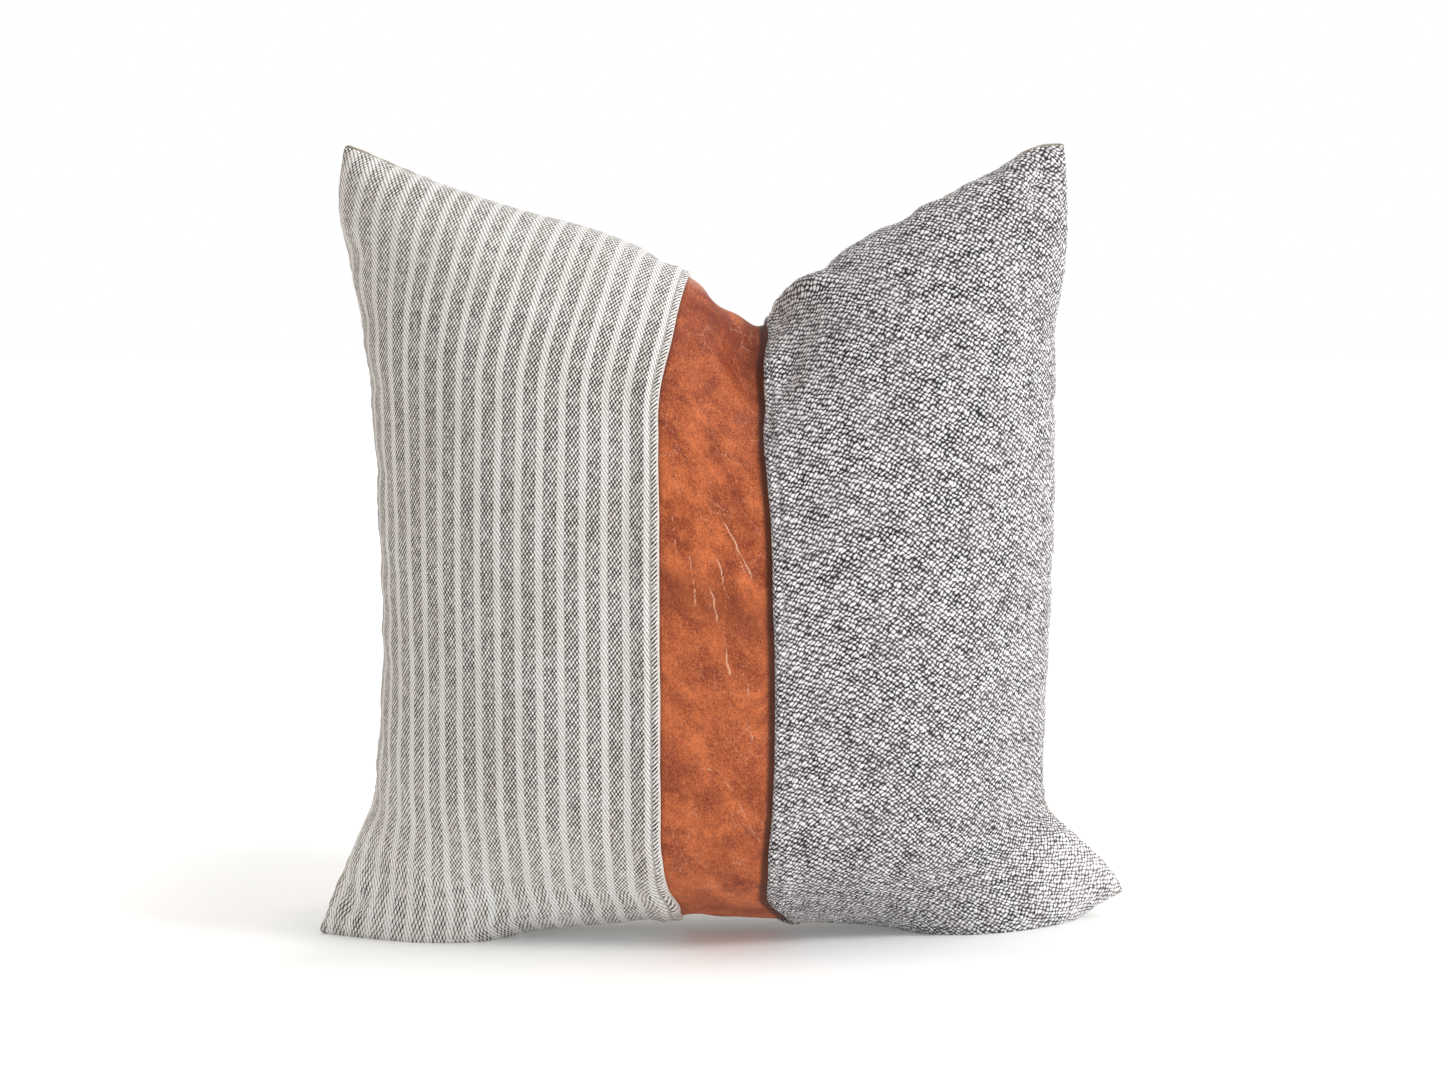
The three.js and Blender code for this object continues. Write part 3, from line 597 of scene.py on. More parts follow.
def crease_field(s, t):
    """Distance-weighted crease strength at every s by every t."""
    S, T = np.meshgrid(s, t, indexing="ij")
    wob_s = S + 0.55 * noise2(S, T, 5.0, 41) + 0.25 * noise2(S, T, 1.7, 42)
    wob_t = T + 0.55 * noise2(S, T, 5.0, 43) + 0.25 * noise2(S, T, 1.7, 44)
    out = np.zeros(S.shape)
    for strength, width, pts in CREASES:
        pts = np.array(pts, float)
        lo, hi = pts.min(0) - 5, pts.max(0) + 5
        I = np.nonzero((s >= lo[0]) & (s <= hi[0]))[0]
        J = np.nonzero((t >= lo[1]) & (t <= hi[1]))[0]
        if not len(I) or not len(J):
            continue
        sl = np.ix_(I, J)
        a, b = wob_s[sl], wob_t[sl]
        total = np.concatenate([[0], np.cumsum(np.sqrt((np.diff(pts, axis=0) ** 2).sum(1)))])
        for q in range(len(pts) - 1):
            p, r = pts[q], pts[q + 1] - pts[q]
            f = np.clip(((a - p[0]) * r[0] + (b - p[1]) * r[1]) / (r @ r), 0, 1)
            dist = np.hypot(a - p[0] - f * r[0], b - p[1] - f * r[1])
            along = (total[q] + f * (total[q + 1] - total[q])) / total[-1]
            taper = np.clip(np.minimum(along, 1 - along) / 0.12, 0.25, 1)
            broken = np.clip(0.75 + 0.7 * noise2(a, b, 6.0, 47), 0.12, 1)
            out[sl] = np.maximum(out[sl], strength * taper * broken * np.exp(-(dist / width) ** 2))
    return out


def leather_band():
    s0, s1 = TICKING_EDGE - HEM_LAP, TWEED_EDGE + HEM_LAP
    s_out = np.linspace(s0, s1, int((s1 - s0) / 0.78) + 1)
    ts = graded(0, COVER, 0.98, True, True)
    k = len(s_out)
    inner = np.unique(np.concatenate([np.arange(0, k, 8), [k - 1]]))[::-1]
    s_all = np.concatenate([s_out, s_out[inner]])
    P, N = cover(-1, s_all, ts)
    crease = crease_field(s_out, ts)
    edge = lip(np.minimum(ts, COVER - ts), 2.0) * 0.97 + 0.03
    offs = np.zeros((len(s_all), len(ts)))
    # the skin dishes slightly between the two stitched hems, with shallow drag folds
    mid = 1 - ((s_out - (s0 + s1) / 2) / 31.0) ** 2
    body = 1.35 + 0.10 * noise2(s_out[:, None], ts[None, :], 22, 51) + 0.06 * noise2(s_out[:, None], ts[None, :], 7, 52)
    body = body + 0.12 * np.clip(mid, 0, 1)[:, None] + 0.9 * np.clip(crease * -0.30, -1, 0)
    offs[:k] = body * edge[None, :] + 0.25 * seam_pucker(s_out, ts) * edge[None, :]
    offs[k:] = 0.25 * edge[None, :] + 0.2 * seam_pucker(s_out[inner], ts) * edge[None, :]
    cloth = np.zeros(P.shape)
    cloth[..., 0], cloth[..., 1] = s_all[:, None], ts[None, :]
    full = np.zeros(P.shape[:2])
    full[:k] = crease
    # painted shadow on the leather beside each hem: faint at the ticking, a dark strip along the proud tweed fold
    hem_shadow = np.zeros(P.shape[:2])
    dl, dr = s_all - TICKING_EDGE, TWEED_EDGE - s_all
    hem_shadow[:] = np.maximum(np.exp(-(np.maximum(dl, 0) / 1.2)) * 0.6, 0.86 * (1 - smooth(dr, 2.4, 5.6)))[:, None]
    return swept("leather_band_skin", P, N, offs, k, list(inner), cloth, {"crease": full, "shade": hem_shadow})


# ---- back panels ------------------------------------------------------------------------------
def back_surface(rows, s, upper):
    """Points and normals of the back: rows are distances from the zip's fold, s across."""
    n = len(rows)
    span = COVER * (1 - ZIP_V) if upper else COVER * ZIP_V
    fine = 0.5 - 0.5 * np.cos(np.pi * np.linspace(0, 1, 801))
    col = back_side(np.full(801, 0.5), fine)
    A = np.concatenate([[0], np.cumsum(np.sqrt((np.diff(col, axis=0) ** 2).sum(1)))])
    A = A / A[-1] * COVER
    t_zip = np.interp(ZIP_V, fine, A)
    length = (COVER - t_zip) if upper else t_zip
    scale = length / rows[-1]
    t = t_zip + np.asarray(rows) * scale * (1 if upper else -1)
    v = np.interp(t, A, fine)
    # across, evenly along the cloth in each row
    P = np.zeros((n, len(s), 3))
    U = np.zeros((n, len(s)))
    for k in range(n):
        line = back_side(fine, np.full(801, v[k]))
        B = np.concatenate([[0], np.cumsum(np.sqrt((np.diff(line, axis=0) ** 2).sum(1)))])
        U[k] = np.interp(np.asarray(s) / COVER * B[-1], B, fine)
    P = back_side(U, np.repeat(v[:, None], len(s), 1))
    Bs, _ = soft_rows(ND, np.asarray(s) / COVER * ND)
    Bt, _ = soft_rows(ND, np.clip(t, 0, COVER) / COVER * ND)
    fold = np.einsum("ik,klc,jl->jic", Bs, FOLD[1], Bt, optimize=True)
    P = P + fold
    a = (np.asarray(rows) + LIP) * (1 if upper else -1)
    reach = np.asarray(rows)
    w = on_zip(U) * (1 - smooth(reach, 8.0, 34.0))[:, None]
    arc = zip_point(zip_phi(U), a[:, None], -0.9)
    P = P * (1 - w[..., None]) + arc * w[..., None]
    P[..., 2] = np.maximum(P[..., 2], 0)
    gr = np.gradient(P, rows, axis=0)
    gs = np.gradient(P, np.asarray(s), axis=1)
    N = np.cross(gr, gs) * (1 if upper else -1)
    N /= np.linalg.norm(N, axis=-1, keepdims=True) + 1e-9
    return P, N, t


def back_panel(name, upper):
    length = COVER * (1 - ZIP_V) if upper else COVER * ZIP_V
    step = 2.1
    rows = np.concatenate([[0, 0.45, 1.0, 1.7, 2.5, 3.6, 5.0, 6.4, 7.4, 8.4, 9.8, 11.5], graded(13.5, length, step, False, True)])
    ss = graded(0, COVER, step, True, True)
    P, N, t = back_surface(rows, ss, upper)
    k = len(rows)
    inner = np.unique(np.concatenate([[0, 3, 6, 9, 11], np.arange(16, k, 12), [k - 1]]))
    order = np.arange(k)[::-1]                                # outer face runs from the seam to the fold
    seam_d = length - rows
    edge_r = lip(seam_d, 2.4) * 0.97 + 0.03
    edge_s = lip(np.minimum(ss, COVER - ss), 2.4) * 0.97 + 0.03
    lipround = np.clip(np.sqrt(np.clip(1 - (1 - np.clip(rows / 1.3, 0, 1)) ** 2, 0, 1)), 0, 1) * 0.65 + 0.35
    groove = 0.45 * bell((rows - 3.3) / 0.9)
    high = (0.35 + 1.5 * lipround - groove)
    body = high[:, None] * edge_r[:, None] * edge_s[None, :]
    body = body + (0.14 * noise2(rows[:, None], ss[None, :], 13, 61)) * edge_r[:, None] * edge_s[None, :]
    body = body + seam_pucker(t, ss, 0.36).clip(-1, 1) * edge_r[:, None] * edge_s[None, :] * smooth(rows, 12, 30)[:, None]
    low = 0.25 * edge_r[:, None] * edge_s[None, :] + 0 * body
    inner_ids = [int(np.nonzero(order == q)[0][0]) for q in inner]
    Pa = np.concatenate([P[order], P[inner]])
    Na = np.concatenate([N[order], N[inner]])
    offs = np.concatenate([body[order], low[inner]])
    cloth = np.zeros(Pa.shape)
    tt = np.concatenate([t[order], t[inner]])
    cloth[..., 0], cloth[..., 1] = ss[None, :], tt[:, None]
    hemline = np.concatenate([rows[order], rows[inner]])
    # beside the hem distance, an attribute that falls to nought where the cloth turns into the seam, for painted shade
    # there
    extra = {"hem": np.repeat(hemline[:, None], len(ss), 1), "seam_shade": np.concatenate([(edge_r[:, None] * edge_s[None, :])[order], (edge_r[:, None] * edge_s[None, :])[inner]])}
    return swept(name, Pa, Na, offs, k, inner_ids, cloth, extra)


# ---- stitches -----------------------------------------------------------------------------------
def capsules(name, centres, along, out, half, radius, flat=0.75):
    """One short rounded stitch at each centre."""
    rings, seg = 7, 8
    pts, faces, cl = [], [], []
    u = np.linspace(-1, 1, rings)
    prof = np.sqrt(np.clip(1 - np.abs(u) ** 3.2, 0.03, 1))
    th = np.linspace(0, 2 * np.pi, seg, endpoint=False)
    across = np.cross(along, out)
    for q in range(len(centres)):
        base = len(pts)
        for k in range(rings):
            c = centres[q] + along[q] * half * u[k] - out[q] * radius * 0.55 * u[k] ** 2
            for a in th:
                pts.append(c + across[q] * np.cos(a) * radius * prof[k] + out[q] * np.sin(a) * radius * flat * prof[k])
                cl.append((q * 10.0 + u[k] * half, a, 0))
        for k in range(rings - 1):
            for m in range(seg):
                n = (m + 1) % seg
                faces.append([base + k * seg + m, base + k * seg + n, base + (k + 1) * seg + n, base + (k + 1) * seg + m])
        faces.append([base + m for m in range(seg)][::-1])
        faces.append([base + (rings - 1) * seg + m for m in range(seg)])
    pts = np.array(pts)
    pts[:, 2] = np.maximum(pts[:, 2], 0.02)
    X = (pts + SHIFT) / 1000.0
    if signed_volume(X, faces) < 0:
        faces = [f[::-1] for f in faces]
    return mesh_object(name, X, faces, np.array(cl))


def topstitch(name, s, height, pitch=4.4, tilt=0.10, radius=0.42):
    t = np.arange(5.0, COVER - 4.5, pitch)
    fine, fn = cover(-1, np.array([s, s + 0.5]), t)
    P, N = fine[0], fn[0]
    across = fine[1] - fine[0]
    across /= np.linalg.norm(across, axis=-1, keepdims=True)
    along = np.cross(N, across)
    along /= np.linalg.norm(along, axis=-1, keepdims=True)
    along = along + across * tilt
    along /= np.linalg.norm(along, axis=-1, keepdims=True)
    jit = 0.12 * noise1(t, 3.0, int(s))
    wander = 0.35 * noise1(t, 26, 31 + (223 if s < 250 else 285))
    C = P + N * height + across * jit[:, None] + along * 0
    C = C + across * wander[:, None] * 0.5
    return capsules(name, C, along, N, pitch * 0.41, radius)


def zip_stitches(name, a):
    phi = np.arange(ZIP_START, ZIP_END, 2.9 / ZIP_RADIUS)
    C = zip_point(phi, a, 1.12)
    along = np.stack([np.cos(phi), -np.sin(phi), 0 * phi], -1)
    out = zip_point(phi, a, 2.12) - C
    return capsules(name, C, along, out, 1.15, 0.32)


# ---- zip ------------------------------------------------------------------------------------------
def coil(name, sgn):
    pitch = 1.35
    turns = (ZIP_END - ZIP_START) * ZIP_RADIUS / pitch
    per, seg, r = 10, 6, 0.36
    n = int(turns * per)
    q = np.linspace(0, turns * 2 * np.pi, n + 1) + (np.pi if sgn > 0 else 0)
    phi = np.linspace(ZIP_START + 0.001, ZIP_END - 0.001, n + 1)
    a = sgn * (1.55 + 1.12 * np.cos(q))
    b = 0.02 + 0.52 * np.sin(q) * (1 + 0.12 * np.cos(q))
    C = zip_point(phi, a, b)
    Tg = np.gradient(C, axis=0)
    Tg /= np.linalg.norm(Tg, axis=-1, keepdims=True)
    ref = np.stack([np.cos(phi), -np.sin(phi), 0 * phi], -1)
    e1 = ref - Tg * (ref * Tg).sum(-1, keepdims=True)
    e1 /= np.linalg.norm(e1, axis=-1, keepdims=True)
    e2 = np.cross(Tg, e1)
    th = np.linspace(0, 2 * np.pi, seg, endpoint=False)
    X = C[:, None] + r * (np.cos(th)[None, :, None] * e1[:, None] + np.sin(th)[None, :, None] * e2[:, None])
    ids = np.arange((n + 1) * seg).reshape(n + 1, seg)
    nx = np.roll(ids, -1, axis=1)
    faces = np.stack([ids[:-1], nx[:-1], nx[1:], ids[1:]], -1).reshape(-1, 4).tolist()
    faces.append(ids[0].tolist()[::-1])
    faces.append(ids[-1].tolist())
    pts = (X.reshape(-1, 3) + SHIFT) / 1000.0
    if signed_volume(pts, faces) < 0:
        faces = [f[::-1] for f in faces]
    return mesh_object(name, pts, faces, np.zeros((len(pts), 3)))


def tape(name, sgn):
    """Woven zip tape with its thicker corded edge beside the coil."""
    a0, a1 = 0.6, 14.4
    aa = np.concatenate([np.linspace(a0, 3.4, 8), np.linspace(4.2, a1, 8)])
    phi = np.linspace(ZIP_START - 0.010, ZIP_END + 0.010, 240)
    cord = 0.12 * bell((aa - 3.2) / 0.5)
    outer = -1.16 + cord
    pts, k = [], len(aa)
    A = np.concatenate([aa, aa[::-1]]) * sgn
    Bv = np.concatenate([outer, np.full(k, -1.66)])
    X = zip_point(phi[None, :], A[:, None], Bv[:, None])
    K, T = X.shape[:2]
    ids = np.arange(K * T).reshape(K, T)
    nxt = np.roll(ids, -1, axis=0)
    faces = np.stack([ids[:, :-1], nxt[:, :-1], nxt[:, 1:], ids[:, 1:]], -1).reshape(-1, 4).tolist()
    for row in (0, T - 1):
        for q in range(k - 1):
            f = [ids[q, row], ids[q + 1, row], ids[K - 2 - q, row], ids[K - 1 - q, row]]
            faces.append(f[::-1] if row else f)
    pts = (X.reshape(-1, 3) + SHIFT) / 1000.0
    if signed_volume(pts, faces) < 0:
        faces = [f[::-1] for f in faces]
    cloth = np.zeros((K, T, 3))
    cloth[..., 0], cloth[..., 1] = (phi * ZIP_RADIUS)[None, :], np.abs(A)[:, None]
    return mesh_object(name, pts, faces, cloth.reshape(-1, 3))


def softened(name, node, width, segments=3):
    """A copy of a CAD node's solid with its edges rounded."""
    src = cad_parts[node]
    bm = bmesh.new()
    bm.from_mesh(src.data)
    bmesh.ops.remove_doubles(bm, verts=bm.verts, dist=1e-5)
    bmesh.ops.dissolve_limit(bm, angle_limit=math.radians(3), verts=bm.verts, edges=bm.edges)
    me = bpy.data.meshes.new(name)
    bm.to_mesh(me)
    bm.free()
    ob = bpy.data.objects.new(name, me)
    scene.collection.objects.link(ob)
    b = ob.modifiers.new("rounded", "BEVEL")
    b.width, b.segments, b.limit_method, b.angle_limit = width, segments, "ANGLE", math.radians(32)
    b.use_clamp_overlap = True
    dg = bpy.context.evaluated_depsgraph_get()
    done = bpy.data.meshes.new_from_object(ob.evaluated_get(dg))
    ob.modifiers.clear()
    ob.data = done
    for p in ob.data.polygons:
        p.use_smooth = True
    try:
        ob.data.set_sharp_from_angle(angle=math.radians(40))
    except AttributeError:
        pass
    return ob


# ---- insert ---------------------------------------------------------------------------------------
def inner_side(u, v, sign, edge, backoff, offset, floor):
    P, M = side(u, v, sign), middle(u, v)
    room = backoff + 9 * bell((u - DENT_U) / 0.1) * smooth(v, 0.5, 0.8) + (13 * bell((v - ZIP_V) / 0.14) + 9 * smooth(v, 0.66, 0.84) if sign > 0 else 0)
    d = np.minimum(np.minimum(u, 1 - u), np.minimum(v, 1 - v)) - edge
    h = np.maximum(0, fullness(u, v) - room) * np.clip(d / 0.03, 0, 1) ** 0.6 + offset
    P[..., 2] = np.maximum(P[..., 2] + sign * roll(v) * np.sqrt(hump(u)) * 0.8, floor)
    P[..., 1] = M[..., 1] + sign * h
    return P


def casing(name, sign):
    g = 0.03 + 0.94 * (0.5 - 0.5 * np.cos(np.pi * np.linspace(0, 1, 110)))
    u, v = np.meshgrid(g, g, indexing="ij")
    out = inner_side(u, v, sign, 0.03, 5, 0.9, 4.5)
    wob = 0.30 * np.sin(2 * np.pi * (u * 37 + noise2(u * 508, v * 508, 40, 71))) * smooth(np.minimum(v, 1 - v), 0.03, 0.05)
    wob = wob * (1 - smooth(np.minimum(np.minimum(u, 1 - u), np.minimum(v, 1 - v)), 0.035, 0.10))
    out[..., 1] += sign * wob
    inn = inner_side(u, v, sign, 0.03, 5, 0.3, 5.4)
    n = len(g)
    X = np.stack([out, inn], 0)
    ids = np.arange(2 * n * n).reshape(2, n, n)
    faces = np.stack([ids[0, :-1, :-1], ids[0, 1:, :-1], ids[0, 1:, 1:], ids[0, :-1, 1:]], -1).reshape(-1, 4).tolist()
    faces += np.stack([ids[1, :-1, :-1], ids[1, :-1, 1:], ids[1, 1:, 1:], ids[1, 1:, :-1]], -1).reshape(-1, 4).tolist()
    ring = [(i, 0) for i in range(n)] + [(n - 1, j) for j in range(1, n)] + [(i, n - 1) for i in range(n - 2, -1, -1)] + [(0, j) for j in range(n - 2, 0, -1)]
    for q in range(len(ring)):
        a, b = ring[q], ring[(q + 1) % len(ring)]
        faces.append([int(ids[0][a]), int(ids[1][a]), int(ids[1][b]), int(ids[0][b])])
    pts = (X.reshape(-1, 3) + SHIFT) / 1000.0
    if signed_volume(pts, faces) < 0:
        faces = [f[::-1] for f in faces]
    cloth = np.stack([np.stack([u * COVER, v * COVER, 0 * u], -1)] * 2, 0).reshape(-1, 3)
    return mesh_object(name, pts, faces, cloth)


def fill():
    g = 0.05 + 0.90 * (0.5 - 0.5 * np.cos(np.pi * np.linspace(0, 1, 90)))
    u, v = np.meshgrid(g, g, indexing="ij")
    lump = 1.1 * noise2(u * 508, v * 508, 26, 81) + 0.5 * noise2(u * 508, v * 508, 11, 82)
    keep = smooth(np.minimum(np.minimum(u, 1 - u), np.minimum(v, 1 - v)), 0.05, 0.12)
    a = inner_side(u, v, -1, 0.05, 12, 0.4, 9.0)
    b = inner_side(u, v, 1, 0.05, 12, 0.4, 9.0)
    a[..., 1] -= lump * keep
    b[..., 1] += lump[::-1] * keep
    n = len(g)
    X = np.stack([a, b], 0)
    ids = np.arange(2 * n * n).reshape(2, n, n)
    faces = np.stack([ids[0, :-1, :-1], ids[0, 1:, :-1], ids[0, 1:, 1:], ids[0, :-1, 1:]], -1).reshape(-1, 4).tolist()
    faces += np.stack([ids[1, :-1, :-1], ids[1, :-1, 1:], ids[1, 1:, 1:], ids[1, 1:, :-1]], -1).reshape(-1, 4).tolist()
    ring = [(i, 0) for i in range(n)] + [(n - 1, j) for j in range(1, n)] + [(i, n - 1) for i in range(n - 2, -1, -1)] + [(0, j) for j in range(n - 2, 0, -1)]
    for q in range(len(ring)):
        p, r = ring[q], ring[(q + 1) % len(ring)]
        faces.append([int(ids[0][p]), int(ids[1][p]), int(ids[1][r]), int(ids[0][r])])
    pts = (X.reshape(-1, 3) + SHIFT) / 1000.0
    if signed_volume(pts, faces) < 0:
        faces = [f[::-1] for f in faces]
    cloth = np.stack([np.stack([u * COVER, v * COVER, 0 * u], -1)] * 2, 0).reshape(-1, 3)
    return mesh_object("insert_fill_wadding", pts, faces, cloth)
CREASES = [
    [1.0, 0.55, [(251.5, 332), (257, 325), (263, 315), (269, 306), (272.5, 296), (279.5, 282)]],
    [0.8, 0.35, [(259, 318), (266, 305), (271.5, 293), (277, 283)]],
    [0.7, 0.30, [(271, 316), (275, 305), (279.5, 298)]],
    [0.9, 0.45, [(232, 300), (234.5, 290), (236, 279), (236.5, 267)]],
    [0.6, 0.30, [(226.5, 297), (228, 287)]],
    [0.9, 0.50, [(248, 309), (252.5, 299), (254.5, 288), (258, 281)]],
    [0.6, 0.30, [(254, 297), (257, 291), (260, 286)]],
    [1.0, 0.50, [(244, 288), (247.5, 279), (249.5, 267), (254.5, 258), (255.5, 244), (258, 232)]],
    [0.6, 0.30, [(242.5, 283), (245, 276), (247, 268)]],
    [0.7, 0.30, [(222, 336), (223, 317), (224, 304), (227.5, 284)]],
    [0.6, 0.35, [(278, 347), (276.5, 332), (276.5, 321)]],
    [0.8, 0.35, [(258, 264), (261, 261), (265, 257)]],
    [0.7, 0.30, [(257, 250), (262, 244), (267, 236), (268, 226)]],
    [0.8, 0.35, [(247.5, 245), (249, 239), (250, 233)]],
    [0.5, 0.35, [(226, 252), (224.5, 232), (224.5, 211)]],
    [0.5, 0.30, [(229, 262), (227.5, 252), (225.5, 242)]],
    [0.8, 0.40, [(265.5, 213), (269, 204), (274, 195), (280, 184)]],
    [0.8, 0.40, [(234.5, 172), (250.5, 175), (254.5, 170), (260.5, 163), (266, 151), (272.5, 140), (279.5, 128)]],
    [0.5, 0.30, [(262, 156), (268, 146), (271, 138)]],
    [0.5, 0.35, [(248, 199), (248, 189), (249.5, 180)]],
    [0.6, 0.30, [(250.5, 462), (248.5, 450), (251, 441), (249, 432)]],
    [0.5, 0.30, [(261.5, 433), (264, 429), (261, 420)]],
    [0.5, 0.30, [(236, 402), (239, 391), (243, 380)]],
    [0.6, 0.35, [(266, 398), (270, 384), (272, 371), (271, 360)]],
    [0.5, 0.30, [(243, 366), (246, 352), (250, 343)]],
    [0.5, 0.30, [(232, 128), (238, 121), (243, 108), (245, 96)]],
    [0.5, 0.30, [(258, 106), (264, 95), (266, 84)]],
    [0.5, 0.30, [(236, 78), (243, 71), (252, 68), (259, 60)]],
]


# ------------------------------------------------------------------------------------
# Materials. Every pattern is laid out in millimetres of the flat cloth.
# ------------------------------------------------------------------------------------
def lin(r, g, b):
    f = lambda c: (c / 255 / 12.92) if c / 255 <= 0.04045 else ((c / 255 + 0.055) / 1.055) ** 2.4
    return (f(r), f(g), f(b), 1.0)


LEATHER_DARK, LEATHER_LIGHT = lin(126, 50, 26), lin(224, 124, 72)
LEATHER_DEEP, LEATHER_PALE = lin(106, 42, 20), lin(246, 196, 166)


class Kit:
    def __init__(self, name, rough=0.85, **sockets):
        self.m = bpy.data.materials.new(name)
        self.m.use_nodes = True
        self.t = self.m.node_tree
        self.b = self.t.nodes["Principled BSDF"]
        self.b.inputs["Roughness"].default_value = rough
        for k, v in sockets.items():
            self.b.inputs[k.replace("_", " ")].default_value = v

    def node(self, kind, **props):
        n = self.t.nodes.new(kind)
        for k, v in props.items():
            setattr(n, k, v)
        return n

    def put(self, socket, value):
        if isinstance(value, bpy.types.NodeSocket):
            self.t.links.new(value, socket)
        else:
            socket.default_value = value

    def math(self, op, a, b=None, c=None, clamp=False):
        n = self.node("ShaderNodeMath", operation=op, use_clamp=clamp)
        for k, v in enumerate((a, b, c)):
            if v is not None:
                self.put(n.inputs[k], v)
        return n.outputs[0]

    def add(self, a, b): return self.math("ADD", a, b)
    def sub(self, a, b): return self.math("SUBTRACT", a, b)
    def mul(self, a, b): return self.math("MULTIPLY", a, b)

    def ramp(self, x, a, b, lo=0.0, hi=1.0):
        n = self.node("ShaderNodeMapRange", interpolation_type="SMOOTHSTEP")
        n.clamp = True
        for k, v in zip(("Value", "From Min", "From Max", "To Min", "To Max"), (x, a, b, lo, hi)):
            self.put(n.inputs[k], v)
        return n.outputs[0]

    def mix(self, f, a, b, kind="MIX"):
        n = self.node("ShaderNodeMix", data_type="RGBA", blend_type=kind)
        n.clamp_factor = True
        self.put(n.inputs[0], f)
        self.put(n.inputs[6], a)
        self.put(n.inputs[7], b)
        return n.outputs[2]

    def attr(self, name, which=2):
        n = self.node("ShaderNodeAttribute", attribute_name=name)
        return n.outputs["Fac"] if which == 2 else n.outputs["Vector"]

    def cloth(self):
        v = self.attr("cloth", 1)
        n = self.node("ShaderNodeSeparateXYZ")
        self.put(n.inputs[0], v)
        return v, n.outputs[0], n.outputs[1]

    def vec(self, x, y, z=0.0):
        n = self.node("ShaderNodeCombineXYZ")
        for k, v in enumerate((x, y, z)):
            self.put(n.inputs[k], v)
        return n.outputs[0]

    def noise(self, v, scale, detail=2.0, rough=0.5, warp=0.0):
        n = self.node("ShaderNodeTexNoise", noise_dimensions="3D")
        self.put(n.inputs["Vector"], v)
        n.inputs["Scale"].default_value = scale
        n.inputs["Detail"].default_value = detail
        n.inputs["Roughness"].default_value = rough
        n.inputs["Distortion"].default_value = warp
        return n.outputs[0]

    def white(self, v):
        n = self.node("ShaderNodeTexWhiteNoise", noise_dimensions="3D")
        self.put(n.inputs["Vector"], v)
        return n.outputs[0]

    def cells(self, v, scale, feature="F1", out="Distance", randomness=1.0):
        n = self.node("ShaderNodeTexVoronoi", feature=feature)
        self.put(n.inputs["Vector"], v)
        n.inputs["Scale"].default_value = scale
        n.inputs["Randomness"].default_value = randomness
        return n.outputs[out]

    def bump(self, height, distance, strength=1.0, normal=None):
        n = self.node("ShaderNodeBump")
        n.inputs["Strength"].default_value = strength
        n.inputs["Distance"].default_value = distance
        self.put(n.inputs["Height"], height)
        if normal is not None:
            self.put(n.inputs["Normal"], normal)
        return n.outputs[0]

    def done(self, color=None, normal=None, rough=None):
        if color is not None:
            self.put(self.b.inputs["Base Color"], color)
        if normal is not None:
            self.put(self.b.inputs["Normal"], normal)
        if rough is not None:
            self.put(self.b.inputs["Roughness"], rough)
        return self.m


def woven(k, X, Y, pitch_x, pitch_y, rx, ry):
    """Rounded floats of yarn on a centred lattice: height 0..1, and one random number per float."""
    out = []
    for shift in (0.0, 0.5):
        ax, ay = k.add(k.math("DIVIDE", X, pitch_x), shift), k.add(k.math("DIVIDE", Y, pitch_y), shift)
        fx = k.mul(k.sub(k.math("FRACT", ax), 0.5), pitch_x / rx)
        fy = k.mul(k.sub(k.math("FRACT", ay), 0.5), pitch_y / ry)
        h = k.sub(1.0, k.add(k.mul(fx, fx), k.mul(fy, fy)))
        out.append((h, k.white(k.vec(k.math("FLOOR", ax), k.math("FLOOR", ay), 2.0 + shift))))
    (ha, pa), (hb, pb) = out
    over = k.math("GREATER_THAN", hb, ha)
    return k.math("MAXIMUM", k.math("MAXIMUM", ha, hb), 0.0), k.add(k.mul(pa, k.sub(1.0, over)), k.mul(pb, over))


